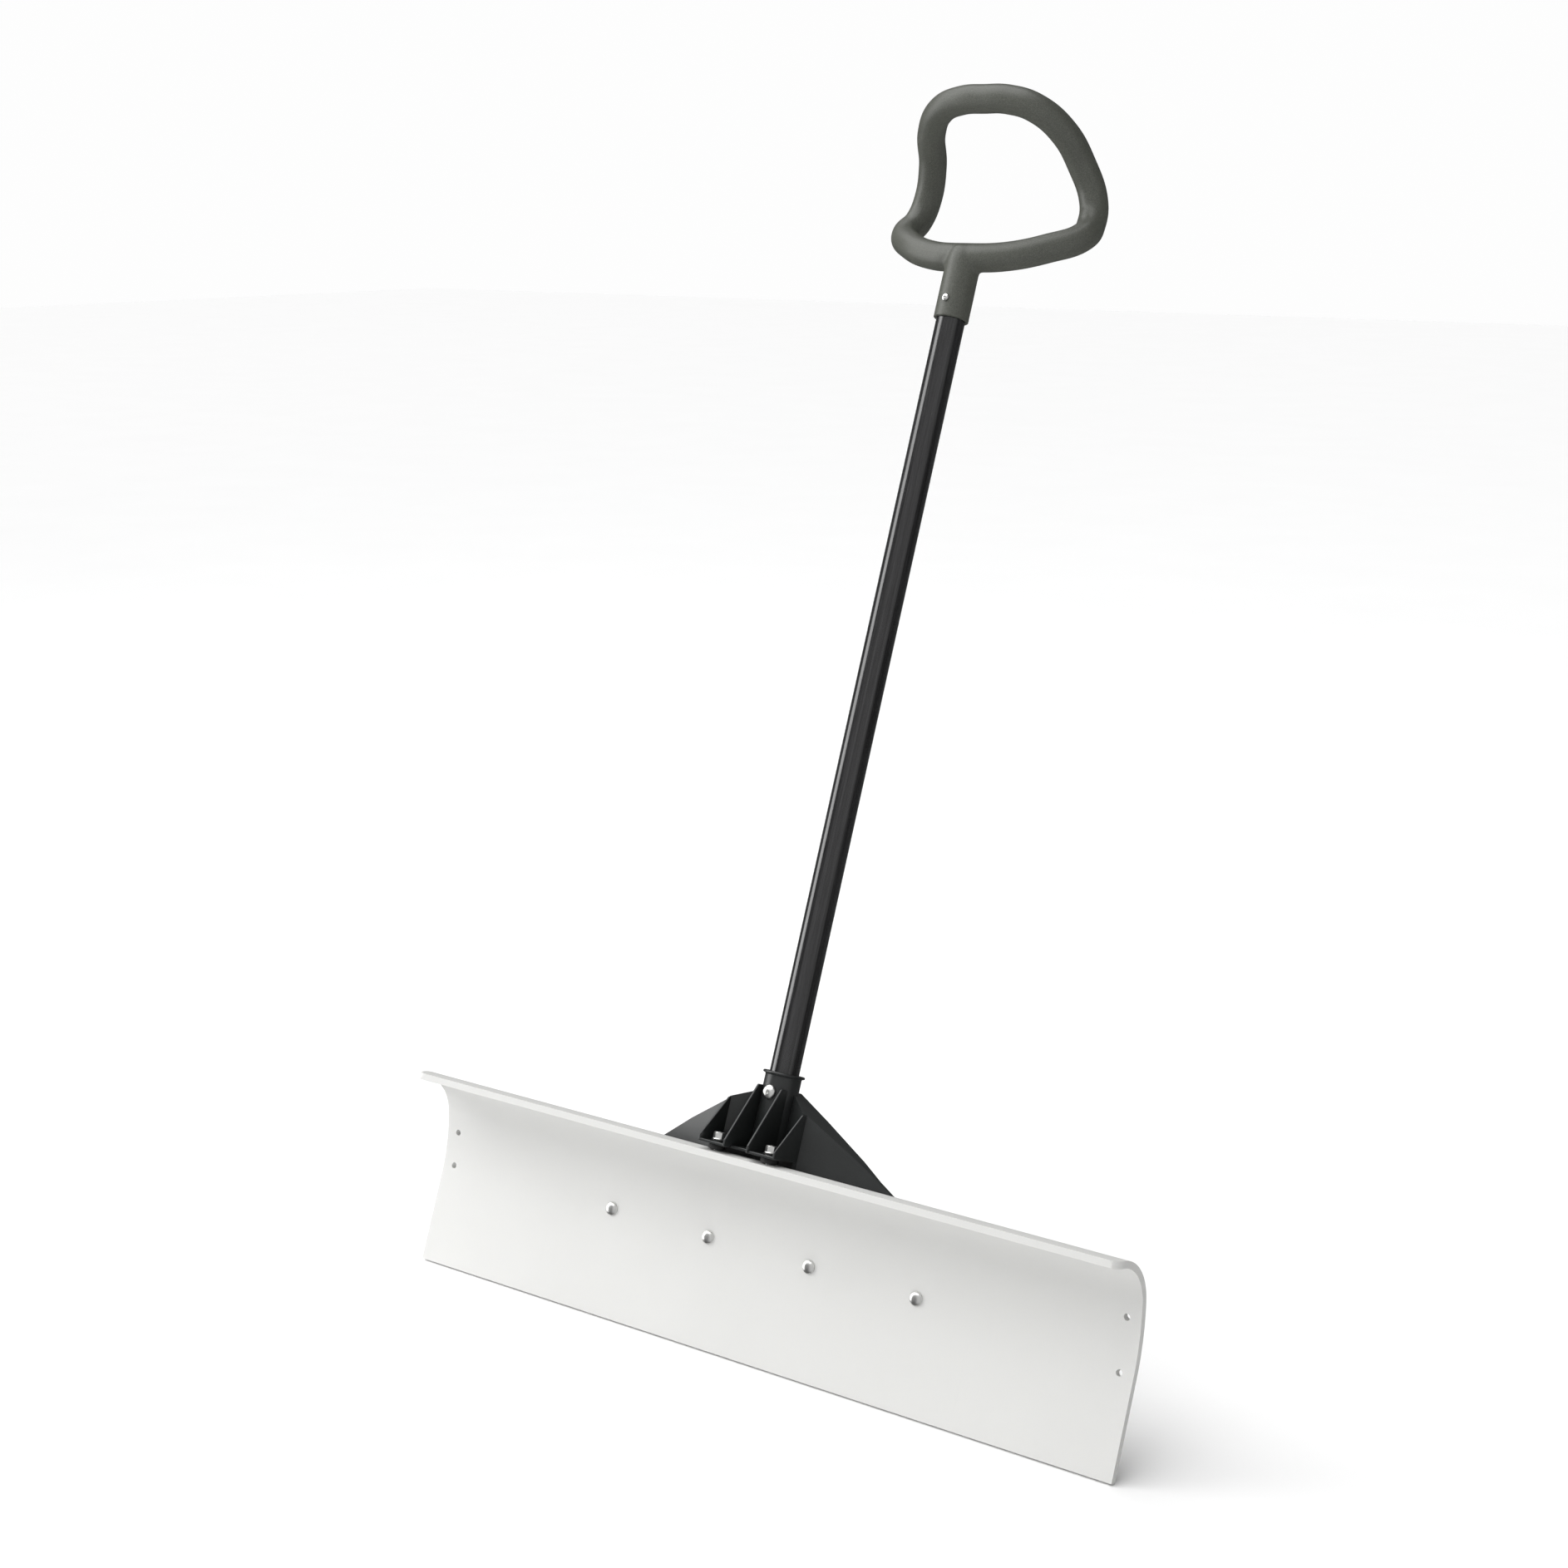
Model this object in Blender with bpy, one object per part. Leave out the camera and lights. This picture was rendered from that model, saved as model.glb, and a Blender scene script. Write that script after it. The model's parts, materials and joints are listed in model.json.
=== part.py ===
"""Snow pusher: a curved plastic blade, a ribbed bracket, a round shaft and a closed loop grip.

Metres. The pieces are drawn with the shaft upright: +X across the blade, -Y in front of
it, and zero at the middle of the blade's lower edge. The empty named stand then leans the
whole tool back, as a person holds it, with its lowest edge on the ground. The origin is
the middle of the floor of the tool's box. Every sub-part is one object.
"""

import math

import bmesh
import bpy
from mathutils import Matrix, Vector

# ---- driving dimensions -------------------------------------------------------------
GAP = 0.0003                    # clearance between pieces that touch
LEAN = math.radians(21.37)      # the shaft leans back from upright by this angle

BLADE_WIDTH = 0.9144
SHEET = 0.0075                  # thickness of the blade sheet
FLAT_HEIGHT = 0.100             # straight part above the lower edge
BELLY_RADIUS = 0.213            # gentle curve above the straight part
BELLY_ANGLE = math.radians(20.4)
CURL_RADIUS = 0.0510            # tight curve that brings the lip forward
CURL_ANGLE = math.radians(78.0)
LIP_LENGTH = 0.012
LIP_CORNER = 0.012              # corner radius in plan at both ends of the lip
END_HOLE = 0.0070
END_HOLE_INSET = 0.016
END_HOLE_HEIGHTS = {"left": (0.1128, 0.1510), "right": (0.1040, 0.1582)}

SHAFT_Y = -0.028
SHAFT_OD = 0.03175
SHAFT_WALL = 0.0030
SHAFT_BOTTOM = 0.2340
SHAFT_TOP = 1.1920

SOCKET_OD = 0.0394
SOCKET_TOP = 0.3082
SOCKET_FLOOR = 0.2295
COLLAR_OD = 0.0455
COLLAR_HEIGHT = 0.0030
BRACKET_WALL = 0.0030
RIB = 0.0026
BAY_BACK = (0.0175, -0.0280)    # the bays' back walls run forward from here to the outer ribs
PANEL_Y = -0.0480
PANEL_PLAN = ((0.0498, -0.0428), (0.1520, -0.0085), (0.2320, -0.0040))
WING_LINE = ((0.0140, 0.2905), (0.0560, 0.2680), (0.1095, 0.2378), (0.1516, 0.2109), (0.2220, 0.1640))
BRACKET_FOOT_Z = 0.0970
BRACKET_HALF = 0.2220
CENTRE_RIB_X = 0.0152
OUTER_RIB_X = 0.0485
FOOT_BOTTOM = 0.2208
FOOT_THICK = 0.0030
FOOT_FRONT = -0.0865
REAR_RIBS = (0.0, 0.0342, 0.1000, 0.1680)
BOSS_OD = 0.0200
BOSS_HEIGHT = 0.0080

BOLT_D = 0.00635
BOLT_HOLE = 0.0070
HEAD_D = 0.0150
HEAD_RISE = 0.0036
BOLT_LENGTH = 0.0275
LIP_HEAD_RISE = 0.0016
LIP_BOLT_LENGTH = 0.0285
SOCKET_HEAD_RISE = 0.0042
SOCKET_BOLT_LENGTH = 0.0515
DARK_WASHER_D = 0.0150
SCREW_HEAD_RISE = 0.0022
SCREW_LENGTH = 0.0110
CENTRE_RIB_LINE = (-0.0494, 0.2917, -0.0880)     # top y, top height, lowest front y
OUTER_RIB_LINE = (-0.0494, 0.2712, -0.0865)
NECK = 0.0050
NUT_AF = 0.0111
NUT_H = 0.0080
WASHER_D = 0.0160
WASHER_T = 0.0012
BLADE_BOLTS_X = (-0.2026, -0.0672, 0.0672, 0.2026)
BLADE_BOLT_Z = 0.1169
LIP_BOLT_X = 0.0342
LIP_BOLT_Y = -0.0715
SPACER_D = 0.0180
SOCKET_BOLT_Z = 0.2860
SOCKET_HEAD_D = 0.0156

GRIP_TUBE = 0.0158              # radius of the loop's tube
STEM_OD = 0.0385
STEM_BOTTOM = 1.1420
STEM_BORE_TOP = 1.1950
SCREW_Z = 1.1614
SCREW_D = 0.0040
SCREW_HEAD_D = 0.0082
GRIP_BAR = (0.0, SHAFT_Y, 1.2133)
GRIP_SIDE = (
    (0.0480, -0.0205, 1.2180), (0.0883, -0.0060, 1.2332), (0.1147, 0.0158, 1.2545), (0.1130, 0.0314, 1.2750),
    (0.1081, 0.0339, 1.3020), (0.0967, 0.0120, 1.3340), (0.0846, -0.0205, 1.3595), (0.0604, -0.0455, 1.3757),
    (0.0300, -0.0548, 1.3822),
)
GRIP_TOP = (0.0, -0.0562, 1.3828)

COLOURS = {
    "uhmw_white": ((0.86, 0.86, 0.84), 0.45, 0.0),
    "nylon_black": ((0.035, 0.037, 0.038), 0.50, 0.0),
    "tube_black": ((0.020, 0.020, 0.021), 0.22, 0.3),
    "grip_grey": ((0.095, 0.100, 0.085), 0.65, 0.0),
    "zinc": ((0.72, 0.72, 0.70), 0.25, 1.0),
    "rubber_black": ((0.015, 0.015, 0.015), 0.60, 0.0),
}


# ---- helpers ------------------------------------------------------------------------
def clear_scene():
    for obj in list(bpy.data.objects):
        bpy.data.objects.remove(obj, do_unlink=True)


def material(key):
    """The Principled material of one finish."""
    found = bpy.data.materials.get(key)
    if found:
        return found
    colour, roughness, metallic = COLOURS[key]
    made = bpy.data.materials.new(key)
    made.use_nodes = True
    shader = made.node_tree.nodes["Principled BSDF"]
    shader.inputs["Base Color"].default_value = (*colour, 1.0)
    shader.inputs["Roughness"].default_value = roughness
    shader.inputs["Metallic"].default_value = metallic
    return made


def to_object(name, bm, matrix=None):
    """Close a bmesh off as an object with outward faces."""
    if matrix is not None:
        bmesh.ops.transform(bm, matrix=matrix, verts=bm.verts)
    bmesh.ops.recalc_face_normals(bm, faces=bm.faces)
    mesh = bpy.data.meshes.new(name)
    bm.to_mesh(mesh)
    bm.free()
    obj = bpy.data.objects.new(name, mesh)
    bpy.context.scene.collection.objects.link(obj)
    return obj


def prism(name, points, axis, low, high):
    """A polygon drawn across one axis, extruded along it from low to high."""
    place = {
        "X": lambda p: Vector((low, p[0], p[1])),
        "Y": lambda p: Vector((p[0], low, p[1])),
        "Z": lambda p: Vector((p[0], p[1], low)),
    }[axis]
    along = {"X": Vector((1, 0, 0)), "Y": Vector((0, 1, 0)), "Z": Vector((0, 0, 1))}[axis]
    bm = bmesh.new()
    face = bm.faces.new([bm.verts.new(place(p)) for p in points])
    grown = bmesh.ops.extrude_face_region(bm, geom=[face])
    moved = [item for item in grown["geom"] if isinstance(item, bmesh.types.BMVert)]
    bmesh.ops.translate(bm, vec=along * (high - low), verts=moved)
    return to_object(name, bm)


def box(name, low, high):
    corners = ((low[0], low[1]), (high[0], low[1]), (high[0], high[1]), (low[0], high[1]))
    return prism(name, corners, "Z", low[2], high[2])


def turned(name, profile, matrix=None, steps=24):
    """A closed profile of (radius, height) points spun round the local Z axis."""
    bm = bmesh.new()
    ring = [bm.verts.new((radius, 0.0, height)) for radius, height in profile]
    edges = [bm.edges.new(pair) for pair in zip(ring, ring[1:])]
    if profile[0][0] > 0.0:
        edges.append(bm.edges.new((ring[-1], ring[0])))
    bmesh.ops.spin(bm, geom=ring + edges, axis=(0, 0, 1), cent=(0, 0, 0), angle=math.tau, steps=steps)
    bmesh.ops.remove_doubles(bm, verts=bm.verts, dist=1e-6)
    return to_object(name, bm, matrix)


def rod(name, diameter, start, end, steps=24):
    """A plain cylinder between two points."""
    start, end = Vector(start), Vector(end)
    length = (end - start).length
    radius = diameter / 2
    profile = ((0.0, 0.0), (radius, 0.0), (radius, length), (0.0, length))
    return turned(name, profile, aim(start, end - start), steps)


def aim(origin, direction):
    """The matrix that puts local Z along a direction, with its zero at the origin."""
    turn = Vector(direction).to_track_quat("Z", "Y").to_matrix().to_4x4()
    return Matrix.Translation(origin) @ turn


def boolean(target, tool, operation):
    """Cut, join or intersect two solids for good, and drop the tool."""
    change = target.modifiers.new(operation.lower(), "BOOLEAN")
    change.operation = operation
    change.solver = "EXACT"
    change.object = tool
    evaluated = target.evaluated_get(bpy.context.evaluated_depsgraph_get())
    mesh = bpy.data.meshes.new_from_object(evaluated)
    target.modifiers.clear()
    target.data = mesh
    bpy.data.objects.remove(tool, do_unlink=True)
    return target


def cut(target, *tools):
    for tool in tools:
        boolean(target, tool, "DIFFERENCE")


def fuse(target, *tools):
    for tool in tools:
        boolean(target, tool, "UNION")


def keep_common(target, *tools):
    for tool in tools:
        boolean(target, tool, "INTERSECT")


def finish(obj, finish_name, smooth_angle=None):
    obj.data.materials.clear()
    obj.data.materials.append(material(finish_name))
    for polygon in obj.data.polygons:
        polygon.material_index = 0
    if smooth_angle:
        obj.data.shade_smooth()
        obj.data.set_sharp_from_angle(angle=math.radians(smooth_angle))
    return obj


def copy_to(obj, name, matrix):
    twin = obj.copy()
    twin.name = name
    twin.matrix_world = matrix
    bpy.context.scene.collection.objects.link(twin)
    return twin


# ---- blade --------------------------------------------------------------------------
def sheet_profile(offset=0.0, belly_steps=6, curl_steps=22):
    """Points (y, z, angle) up the front face, moved back from it by the offset."""
    y, z, angle = -SHEET / 2, 0.0, 0.0
    points = [(y, z, angle)]
    runs = [(1, FLAT_HEIGHT, 0.0), (belly_steps, BELLY_RADIUS * BELLY_ANGLE, BELLY_ANGLE)]
    runs += [(curl_steps, CURL_RADIUS * CURL_ANGLE, CURL_ANGLE), (1, LIP_LENGTH, 0.0)]
    for steps, length, turn in runs:
        for _ in range(steps):
            middle = angle + turn / steps / 2
            y -= math.sin(middle) * length / steps
            z += math.cos(middle) * length / steps
            angle += turn / steps
            points.append((y, z, angle))
    return [(a + math.cos(t) * offset, b + math.sin(t) * offset, t) for a, b, t in points]


def sheet_point(height, offset=0.0):
    """The point and backward normal of the front face at a height on its lower part."""
    points = sheet_profile()
    for (y0, z0, t0), (y1, z1, t1) in zip(points, points[1:]):
        if z0 <= height <= z1:
            share = (height - z0) / (z1 - z0)
            angle = t0 + (t1 - t0) * share
            normal = Vector((0.0, math.cos(angle), math.sin(angle)))
            return Vector((0.0, y0 + (y1 - y0) * share, height)) + normal * offset, normal
    raise ValueError("height is above the blade")


def lip_height(y, offset=0.0):
    """Height of the lip's underside, or of its top with the sheet as the offset."""
    points = sheet_profile(offset)
    for (y0, z0, _), (y1, z1, _) in zip(points, points[1:]):
        if y1 <= y <= y0 and z0 > 0.19:
            return z0 + (z1 - z0) * (y0 - y) / (y0 - y1)
    raise ValueError("the place is not under the lip")


def make_blade():
    inner = [(y, z) for y, z, _ in sheet_profile()]
    outer = [(y, z) for y, z, _ in sheet_profile(SHEET)]
    half = BLADE_WIDTH / 2
    blade = prism("blade", inner + outer[::-1], "X", -half, half)
    tip_y = min(y for y, _ in inner + outer)
    for side in (-1, 1):
        corner = (side * half, tip_y)
        centre = (side * (half - LIP_CORNER), tip_y + LIP_CORNER)
        arc = []
        for step in range(9):
            turn = math.pi / 2 * step / 8
            arc.append((centre[0] + side * LIP_CORNER * math.sin(turn), centre[1] - LIP_CORNER * math.cos(turn)))
        outside = [(centre[0], corner[1] - 0.01), (side * (half + 0.01), corner[1] - 0.01)]
        outside += [(side * (half + 0.01), centre[1])]
        cut(blade, prism("corner", arc + outside[::-1], "Z", 0.19, 0.23))
    for side, heights in zip((-1, 1), END_HOLE_HEIGHTS.values()):
        for height in heights:
            point, normal = sheet_point(height)
            point.x = side * (half - END_HOLE_INSET)
            cut(blade, rod("hole", END_HOLE, point - normal * 0.01, point + normal * 0.02, 24))
    for x in BLADE_BOLTS_X:
        point, normal = sheet_point(BLADE_BOLT_Z)
        point.x = x
        cut(blade, square_rod(BOLT_HOLE, aim(point - normal * 0.01, normal), 0.03))
    for side in (-1, 1):
        foot = Vector((side * LIP_BOLT_X, LIP_BOLT_Y, 0.19))
        cut(blade, square_rod(BOLT_HOLE, Matrix.Translation(foot), 0.035))
    return finish(blade, "uhmw_white", 30)


def square_rod(size, matrix, length):
    half = size / 2
    bar = box("square", (-half, -half, 0.0), (half, half, length))
    bar.data.transform(matrix)
    return bar


# ---- bracket ------------------------------------------------------------------------
def wing_outline(inset=0.0):
    """Front view of the bracket's body, symmetrical about the shaft."""
    right = [(x, z - inset * 1.15) for x, z in WING_LINE[:-1]]
    right.append((BRACKET_HALF - inset, WING_LINE[-1][1] - inset * 0.6))
    right.append((BRACKET_HALF - inset, BRACKET_FOOT_Z + inset))
    return [(-x, z) for x, z in right[::-1]] + right


def side_outline(offset, foot, top, rear):
    """Side view: the panel, then the back of the sheet, then the rear line."""
    panel_y = PANEL_Y + offset
    skin = [(SHEET / 2 + GAP + offset, foot)]
    for y, z, _ in sheet_profile(SHEET + GAP + offset)[1:]:
        if y < panel_y:
            share = (skin[-1][0] - panel_y) / (skin[-1][0] - y)
            skin.append((panel_y, skin[-1][1] + (z - skin[-1][1]) * share))
            break
        skin.append((y, z))
    return skin + [(panel_y, top)] + rear[::-1]


def plan_outline(offset):
    """Top view: two slanted bay walls beside the socket, then wings that sweep back."""
    right = [(x, y + offset) for x, y in (BAY_BACK, (OUTER_RIB_X, PANEL_Y), *PANEL_PLAN)]
    right.append((right[-1][0], 0.06))
    return [(-x, y) for x, y in right[::-1]] + right


def bracket_body():
    rear = [(0.0135, BRACKET_FOOT_Z), (0.0135, 0.150), (SHAFT_Y + SOCKET_OD / 2, 0.222)]
    rear.append((rear[-1][0], 0.300))
    body = prism("bracket", wing_outline(), "Y", -0.06, 0.06)
    keep_common(body, prism("side", side_outline(0.0, BRACKET_FOOT_Z, 0.300, rear), "X", -0.23, 0.23))
    keep_common(body, prism("plan", plan_outline(0.0), "Z", 0.05, 0.35))
    far = [(0.03, BRACKET_FOOT_Z - 0.01), (0.03, 0.31)]
    hollow = prism("hollow", wing_outline(BRACKET_WALL), "Y", -0.07, 0.07)
    inside = side_outline(BRACKET_WALL, BRACKET_FOOT_Z - 0.005, 0.31, far)
    keep_common(hollow, prism("side", inside, "X", -0.24, 0.24))
    keep_common(hollow, prism("plan", plan_outline(BRACKET_WALL), "Z", 0.04, 0.36))
    for x in sorted({side * x for x in REAR_RIBS for side in (-1, 1)}):
        cut(hollow, box("rear_rib", (x - RIB / 2, -0.08, 0.05), (x + RIB / 2, 0.08, 0.35)))
    for x in BLADE_BOLTS_X:
        start, normal = sheet_point(BLADE_BOLT_Z, SHEET + GAP + 0.001)
        start.x = x
        cut(hollow, rod("boss", BOSS_OD, start, start + normal * (BOSS_HEIGHT - 0.001)))
    cut(body, hollow)
    return body


def front_rib(x, back_y, top_y, top_z, front_y):
    shape = (
        (back_y, top_z), (top_y, top_z), (front_y, FOOT_BOTTOM + 0.0078),
        (front_y, FOOT_BOTTOM), (back_y, FOOT_BOTTOM),
    )
    return prism("front_rib", shape, "X", x - RIB / 2, x + RIB / 2)


def make_bracket():
    bracket = bracket_body()
    radius = SOCKET_OD / 2
    collar = COLLAR_OD / 2
    outside = (
        (0.0, SOCKET_FLOOR - BRACKET_WALL), (radius, SOCKET_FLOOR - BRACKET_WALL),
        (radius, SOCKET_TOP - COLLAR_HEIGHT), (collar - 0.0004, SOCKET_TOP - COLLAR_HEIGHT),
        (collar, SOCKET_TOP - COLLAR_HEIGHT + 0.0004), (collar, SOCKET_TOP - 0.0006),
        (collar - 0.0006, SOCKET_TOP), (0.0, SOCKET_TOP),
    )
    place = Matrix.Translation((0.0, SHAFT_Y, 0.0))
    fuse(bracket, turned("socket", outside, place, 48))
    for side in (-1, 1):
        fuse(bracket, front_rib(side * CENTRE_RIB_X, BAY_BACK[1] + 0.001, *CENTRE_RIB_LINE))
        fuse(bracket, front_rib(side * OUTER_RIB_X, PANEL_Y + 0.007, *OUTER_RIB_LINE))
        near, far = CENTRE_RIB_X - RIB / 2, OUTER_RIB_X + RIB / 2
        plan = ((near, FOOT_FRONT), (far, FOOT_FRONT), (far, PANEL_Y + 0.006), (near, BAY_BACK[1] + 0.001))
        plan = [(side * x, y) for x, y in plan]
        fuse(bracket, prism("foot", plan, "Z", FOOT_BOTTOM, FOOT_BOTTOM + FOOT_THICK))
    web_low = (-CENTRE_RIB_X, -0.0760, FOOT_BOTTOM)
    fuse(bracket, box("web", web_low, (CENTRE_RIB_X, BAY_BACK[1] + 0.001, FOOT_BOTTOM + FOOT_THICK)))
    bore = SHAFT_OD + 2 * GAP
    cut(bracket, rod("bore", bore, (0, SHAFT_Y, SOCKET_FLOOR), (0, SHAFT_Y, 0.32), 48))
    cut(bracket, rod("cross", BOLT_HOLE, (0, -0.07, SOCKET_BOLT_Z), (0, 0.02, SOCKET_BOLT_Z), 24))
    for x in BLADE_BOLTS_X:
        point, normal = sheet_point(BLADE_BOLT_Z, SHEET)
        point.x = x
        cut(bracket, rod("hole", BOLT_HOLE, point - normal * 0.004, point + normal * 0.03, 24))
    for side in (-1, 1):
        foot = (side * LIP_BOLT_X, LIP_BOLT_Y)
        cut(bracket, rod("hole", BOLT_HOLE, (*foot, 0.216), (*foot, 0.240), 24))
    return finish(bracket, "nylon_black", 28)


# ---- shaft and grip -----------------------------------------------------------------
def make_shaft():
    outer = SHAFT_OD / 2
    inner = outer - SHAFT_WALL
    wall = ((inner, SHAFT_BOTTOM), (outer, SHAFT_BOTTOM), (outer, SHAFT_TOP), (inner, SHAFT_TOP))
    shaft = turned("shaft", wall, Matrix.Translation((0.0, SHAFT_Y, 0.0)), 48)
    cut(shaft, rod("cross", BOLT_HOLE, (0, -0.06, SOCKET_BOLT_Z), (0, 0.01, SOCKET_BOLT_Z), 24))
    cut(shaft, rod("cross", SCREW_D + 2 * GAP, (0, -0.06, SCREW_Z), (0, SHAFT_Y, SCREW_Z), 16))
    return finish(shaft, "tube_black", 30)


def make_grip():
    """A closed tube on a smooth loop, with a round stem that holds the shaft's top."""
    route = [GRIP_BAR, *GRIP_SIDE, GRIP_TOP]
    route += [(-x, y, z) for x, y, z in GRIP_SIDE[::-1]]
    curve = bpy.data.curves.new("loop", "CURVE")
    curve.dimensions = "3D"
    curve.resolution_u = 5
    curve.bevel_depth = GRIP_TUBE
    curve.bevel_resolution = 5
    spline = curve.splines.new("BEZIER")
    spline.bezier_points.add(len(route) - 1)
    for point, place in zip(spline.bezier_points, route):
        point.co = place
        point.handle_left_type = "AUTO"
        point.handle_right_type = "AUTO"
    spline.use_cyclic_u = True
    line = bpy.data.objects.new("loop", curve)
    bpy.context.scene.collection.objects.link(line)
    mesh = bpy.data.meshes.new_from_object(line.evaluated_get(bpy.context.evaluated_depsgraph_get()))
    bpy.data.objects.remove(line, do_unlink=True)
    bm = bmesh.new()
    bm.from_mesh(mesh)
    bmesh.ops.remove_doubles(bm, verts=bm.verts, dist=1e-6)
    grip = to_object("grip", bm)
    radius = STEM_OD / 2
    neck = (
        (0.0, STEM_BOTTOM), (radius - 0.0006, STEM_BOTTOM), (radius, STEM_BOTTOM + 0.0006),
        (radius, GRIP_BAR[2] - 0.006), (radius - 0.004, GRIP_BAR[2]), (0.0, GRIP_BAR[2] + 0.002),
    )
    fuse(grip, turned("stem", neck, Matrix.Translation((0.0, SHAFT_Y, 0.0)), 48))
    bore = SHAFT_OD + 2 * GAP
    cut(grip, rod("bore", bore, (0, SHAFT_Y, STEM_BOTTOM - 0.01), (0, SHAFT_Y, STEM_BORE_TOP), 48))
    cut(grip, rod("cross", SCREW_D + 2 * GAP, (0, -0.06, SCREW_Z), (0, SHAFT_Y, SCREW_Z), 16))
    return finish(grip, "grip_grey", 40)


# ---- fasteners ----------------------------------------------------------------------
def dome(diameter, rise, steps=4):
    """Profile of a low domed head, from its crown to its rim."""
    radius = diameter / 2
    points = [(0.0, rise)]
    for step in range(1, steps):
        turn = math.pi / 2 * step / steps
        points.append((radius * math.sin(turn), rise * math.cos(turn) + 0.0004 * math.sin(turn)))
    points += [(radius, 0.0004), (radius - 0.0003, 0.0)]
    return points


def domed_bolt(name, head, rise, shank, length, neck=0.0):
    """A bolt along local -Z whose head rises above zero."""
    radius = shank / 2
    profile = dome(head, rise)
    profile += [(radius, 0.0), (radius, -length + 0.0006), (radius - 0.0006, -length), (0.0, -length)]
    bolt = turned(name, profile)
    if neck:
        half = radius
        fuse(bolt, box("neck", (-half, -half, -neck), (half, half, 0.0005)))
    return bolt


def hex_nut(name):
    corner = NUT_AF / math.sqrt(3.0)
    points = [(corner * math.cos(math.tau * k / 6), corner * math.sin(math.tau * k / 6)) for k in range(6)]
    nut = prism(name, points, "Z", 0.0, NUT_H)
    drop = 0.0007
    rim = NUT_AF / 2
    barrel = ((0.0, -0.0002), (rim - 0.0002, -0.0002), (corner + 0.0001, drop), (corner + 0.0001, NUT_H - drop))
    barrel += ((rim - 0.0002, NUT_H + 0.0002), (0.0, NUT_H + 0.0002))
    keep_common(nut, turned("barrel", barrel))
    cut(nut, rod("thread", BOLT_HOLE, (0, 0, -0.01), (0, 0, 0.02), 16))
    return nut


def ring(name, diameter, thickness):
    outer = diameter / 2
    inner = BOLT_HOLE / 2
    return turned(name, ((inner, 0.0), (outer, 0.0), (outer, thickness), (inner, thickness)))


def make_fasteners():
    """Bolts, washers and nuts, each its own object on shared meshes."""
    carriage = finish(domed_bolt("carriage_bolt", HEAD_D, HEAD_RISE, BOLT_D, BOLT_LENGTH, NECK), "zinc", 30)
    flat = finish(domed_bolt("lip_bolt", HEAD_D, LIP_HEAD_RISE, BOLT_D, LIP_BOLT_LENGTH, NECK), "zinc", 30)
    cross = domed_bolt("cross_bolt", SOCKET_HEAD_D, SOCKET_HEAD_RISE, BOLT_D, SOCKET_BOLT_LENGTH)
    finish(cross, "zinc", 30)
    nut = finish(hex_nut("nut"), "zinc", 30)
    washer = finish(ring("washer", WASHER_D, WASHER_T), "zinc", 30)
    dark_washer = finish(ring("dark_washer", DARK_WASHER_D, WASHER_T), "rubber_black", 30)
    foot_top = FOOT_BOTTOM + FOOT_THICK
    crest = max(z for _, z, _ in sheet_profile(SHEET))
    spacer_bottom = crest + GAP
    spacer = finish(ring("spacer", SPACER_D, FOOT_BOTTOM - GAP - spacer_bottom), "rubber_black", 30)
    lip_underside = min(lip_height(LIP_BOLT_Y + edge) for edge in (-HEAD_D / 2, HEAD_D / 2))

    for index, x in enumerate(BLADE_BOLTS_X, 1):
        point, normal = sheet_point(BLADE_BOLT_Z)
        point.x = x
        copy_to(carriage, f"blade_bolt_{index}", aim(point - normal * GAP, -normal))
        seat = SHEET + GAP + BOSS_HEIGHT + GAP
        copy_to(washer, f"blade_washer_{index}", aim(point + normal * seat, normal))
        copy_to(nut, f"blade_nut_{index}", aim(point + normal * (seat + WASHER_T + GAP), normal))

    for side, label in ((-1, "left"), (1, "right")):
        at = Vector((side * LIP_BOLT_X, LIP_BOLT_Y, 0.0))
        up = Vector((0.0, 0.0, 1.0))
        copy_to(flat, f"lip_bolt_{label}", aim(at + up * (lip_underside - GAP), -up))
        copy_to(spacer, f"lip_spacer_{label}", Matrix.Translation(at + up * spacer_bottom))
        copy_to(dark_washer, f"lip_washer_{label}", Matrix.Translation(at + up * (foot_top + GAP)))
        nut_z = foot_top + WASHER_T + 2 * GAP
        copy_to(nut, f"lip_nut_{label}", Matrix.Translation(at + up * nut_z))

    front = Vector((0.0, SHAFT_Y - SOCKET_OD / 2 - GAP, SOCKET_BOLT_Z))
    back = Vector((0.0, SHAFT_Y + SOCKET_OD / 2 + GAP, SOCKET_BOLT_Z))
    behind = Vector((0.0, 1.0, 0.0))
    copy_to(cross, "socket_bolt", aim(front, -behind))
    copy_to(washer, "socket_washer", aim(back, behind))
    copy_to(nut, "socket_nut", aim(back + behind * (WASHER_T + GAP), behind))

    for pattern in (carriage, flat, cross, nut, washer, dark_washer, spacer):
        bpy.data.objects.remove(pattern, do_unlink=True)

    head = Vector((0.0, SHAFT_Y - STEM_OD / 2 - GAP, SCREW_Z))
    screw = domed_bolt("grip_screw", SCREW_HEAD_D, SCREW_HEAD_RISE, SCREW_D, SCREW_LENGTH)
    screw.matrix_world = aim(head, -behind)
    finish(screw, "zinc", 30)


def lean_on_stand():
    """Lean every piece back, and put the middle of the box's floor at the origin."""
    stand = bpy.data.objects.new("stand", None)
    bpy.context.scene.collection.objects.link(stand)
    turn = Matrix.Rotation(-LEAN, 4, "X")
    low = Vector((math.inf,) * 3)
    high = Vector((-math.inf,) * 3)
    for piece in [obj for obj in bpy.data.objects if obj.type == "MESH"]:
        piece.parent = stand
        for vertex in piece.data.vertices:
            place = turn @ piece.matrix_basis @ vertex.co
            low = Vector(map(min, low, place))
            high = Vector(map(max, high, place))
    stand.rotation_euler.x = -LEAN
    stand.location = (0.0, -(low.y + high.y) / 2, -low.z)


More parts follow.
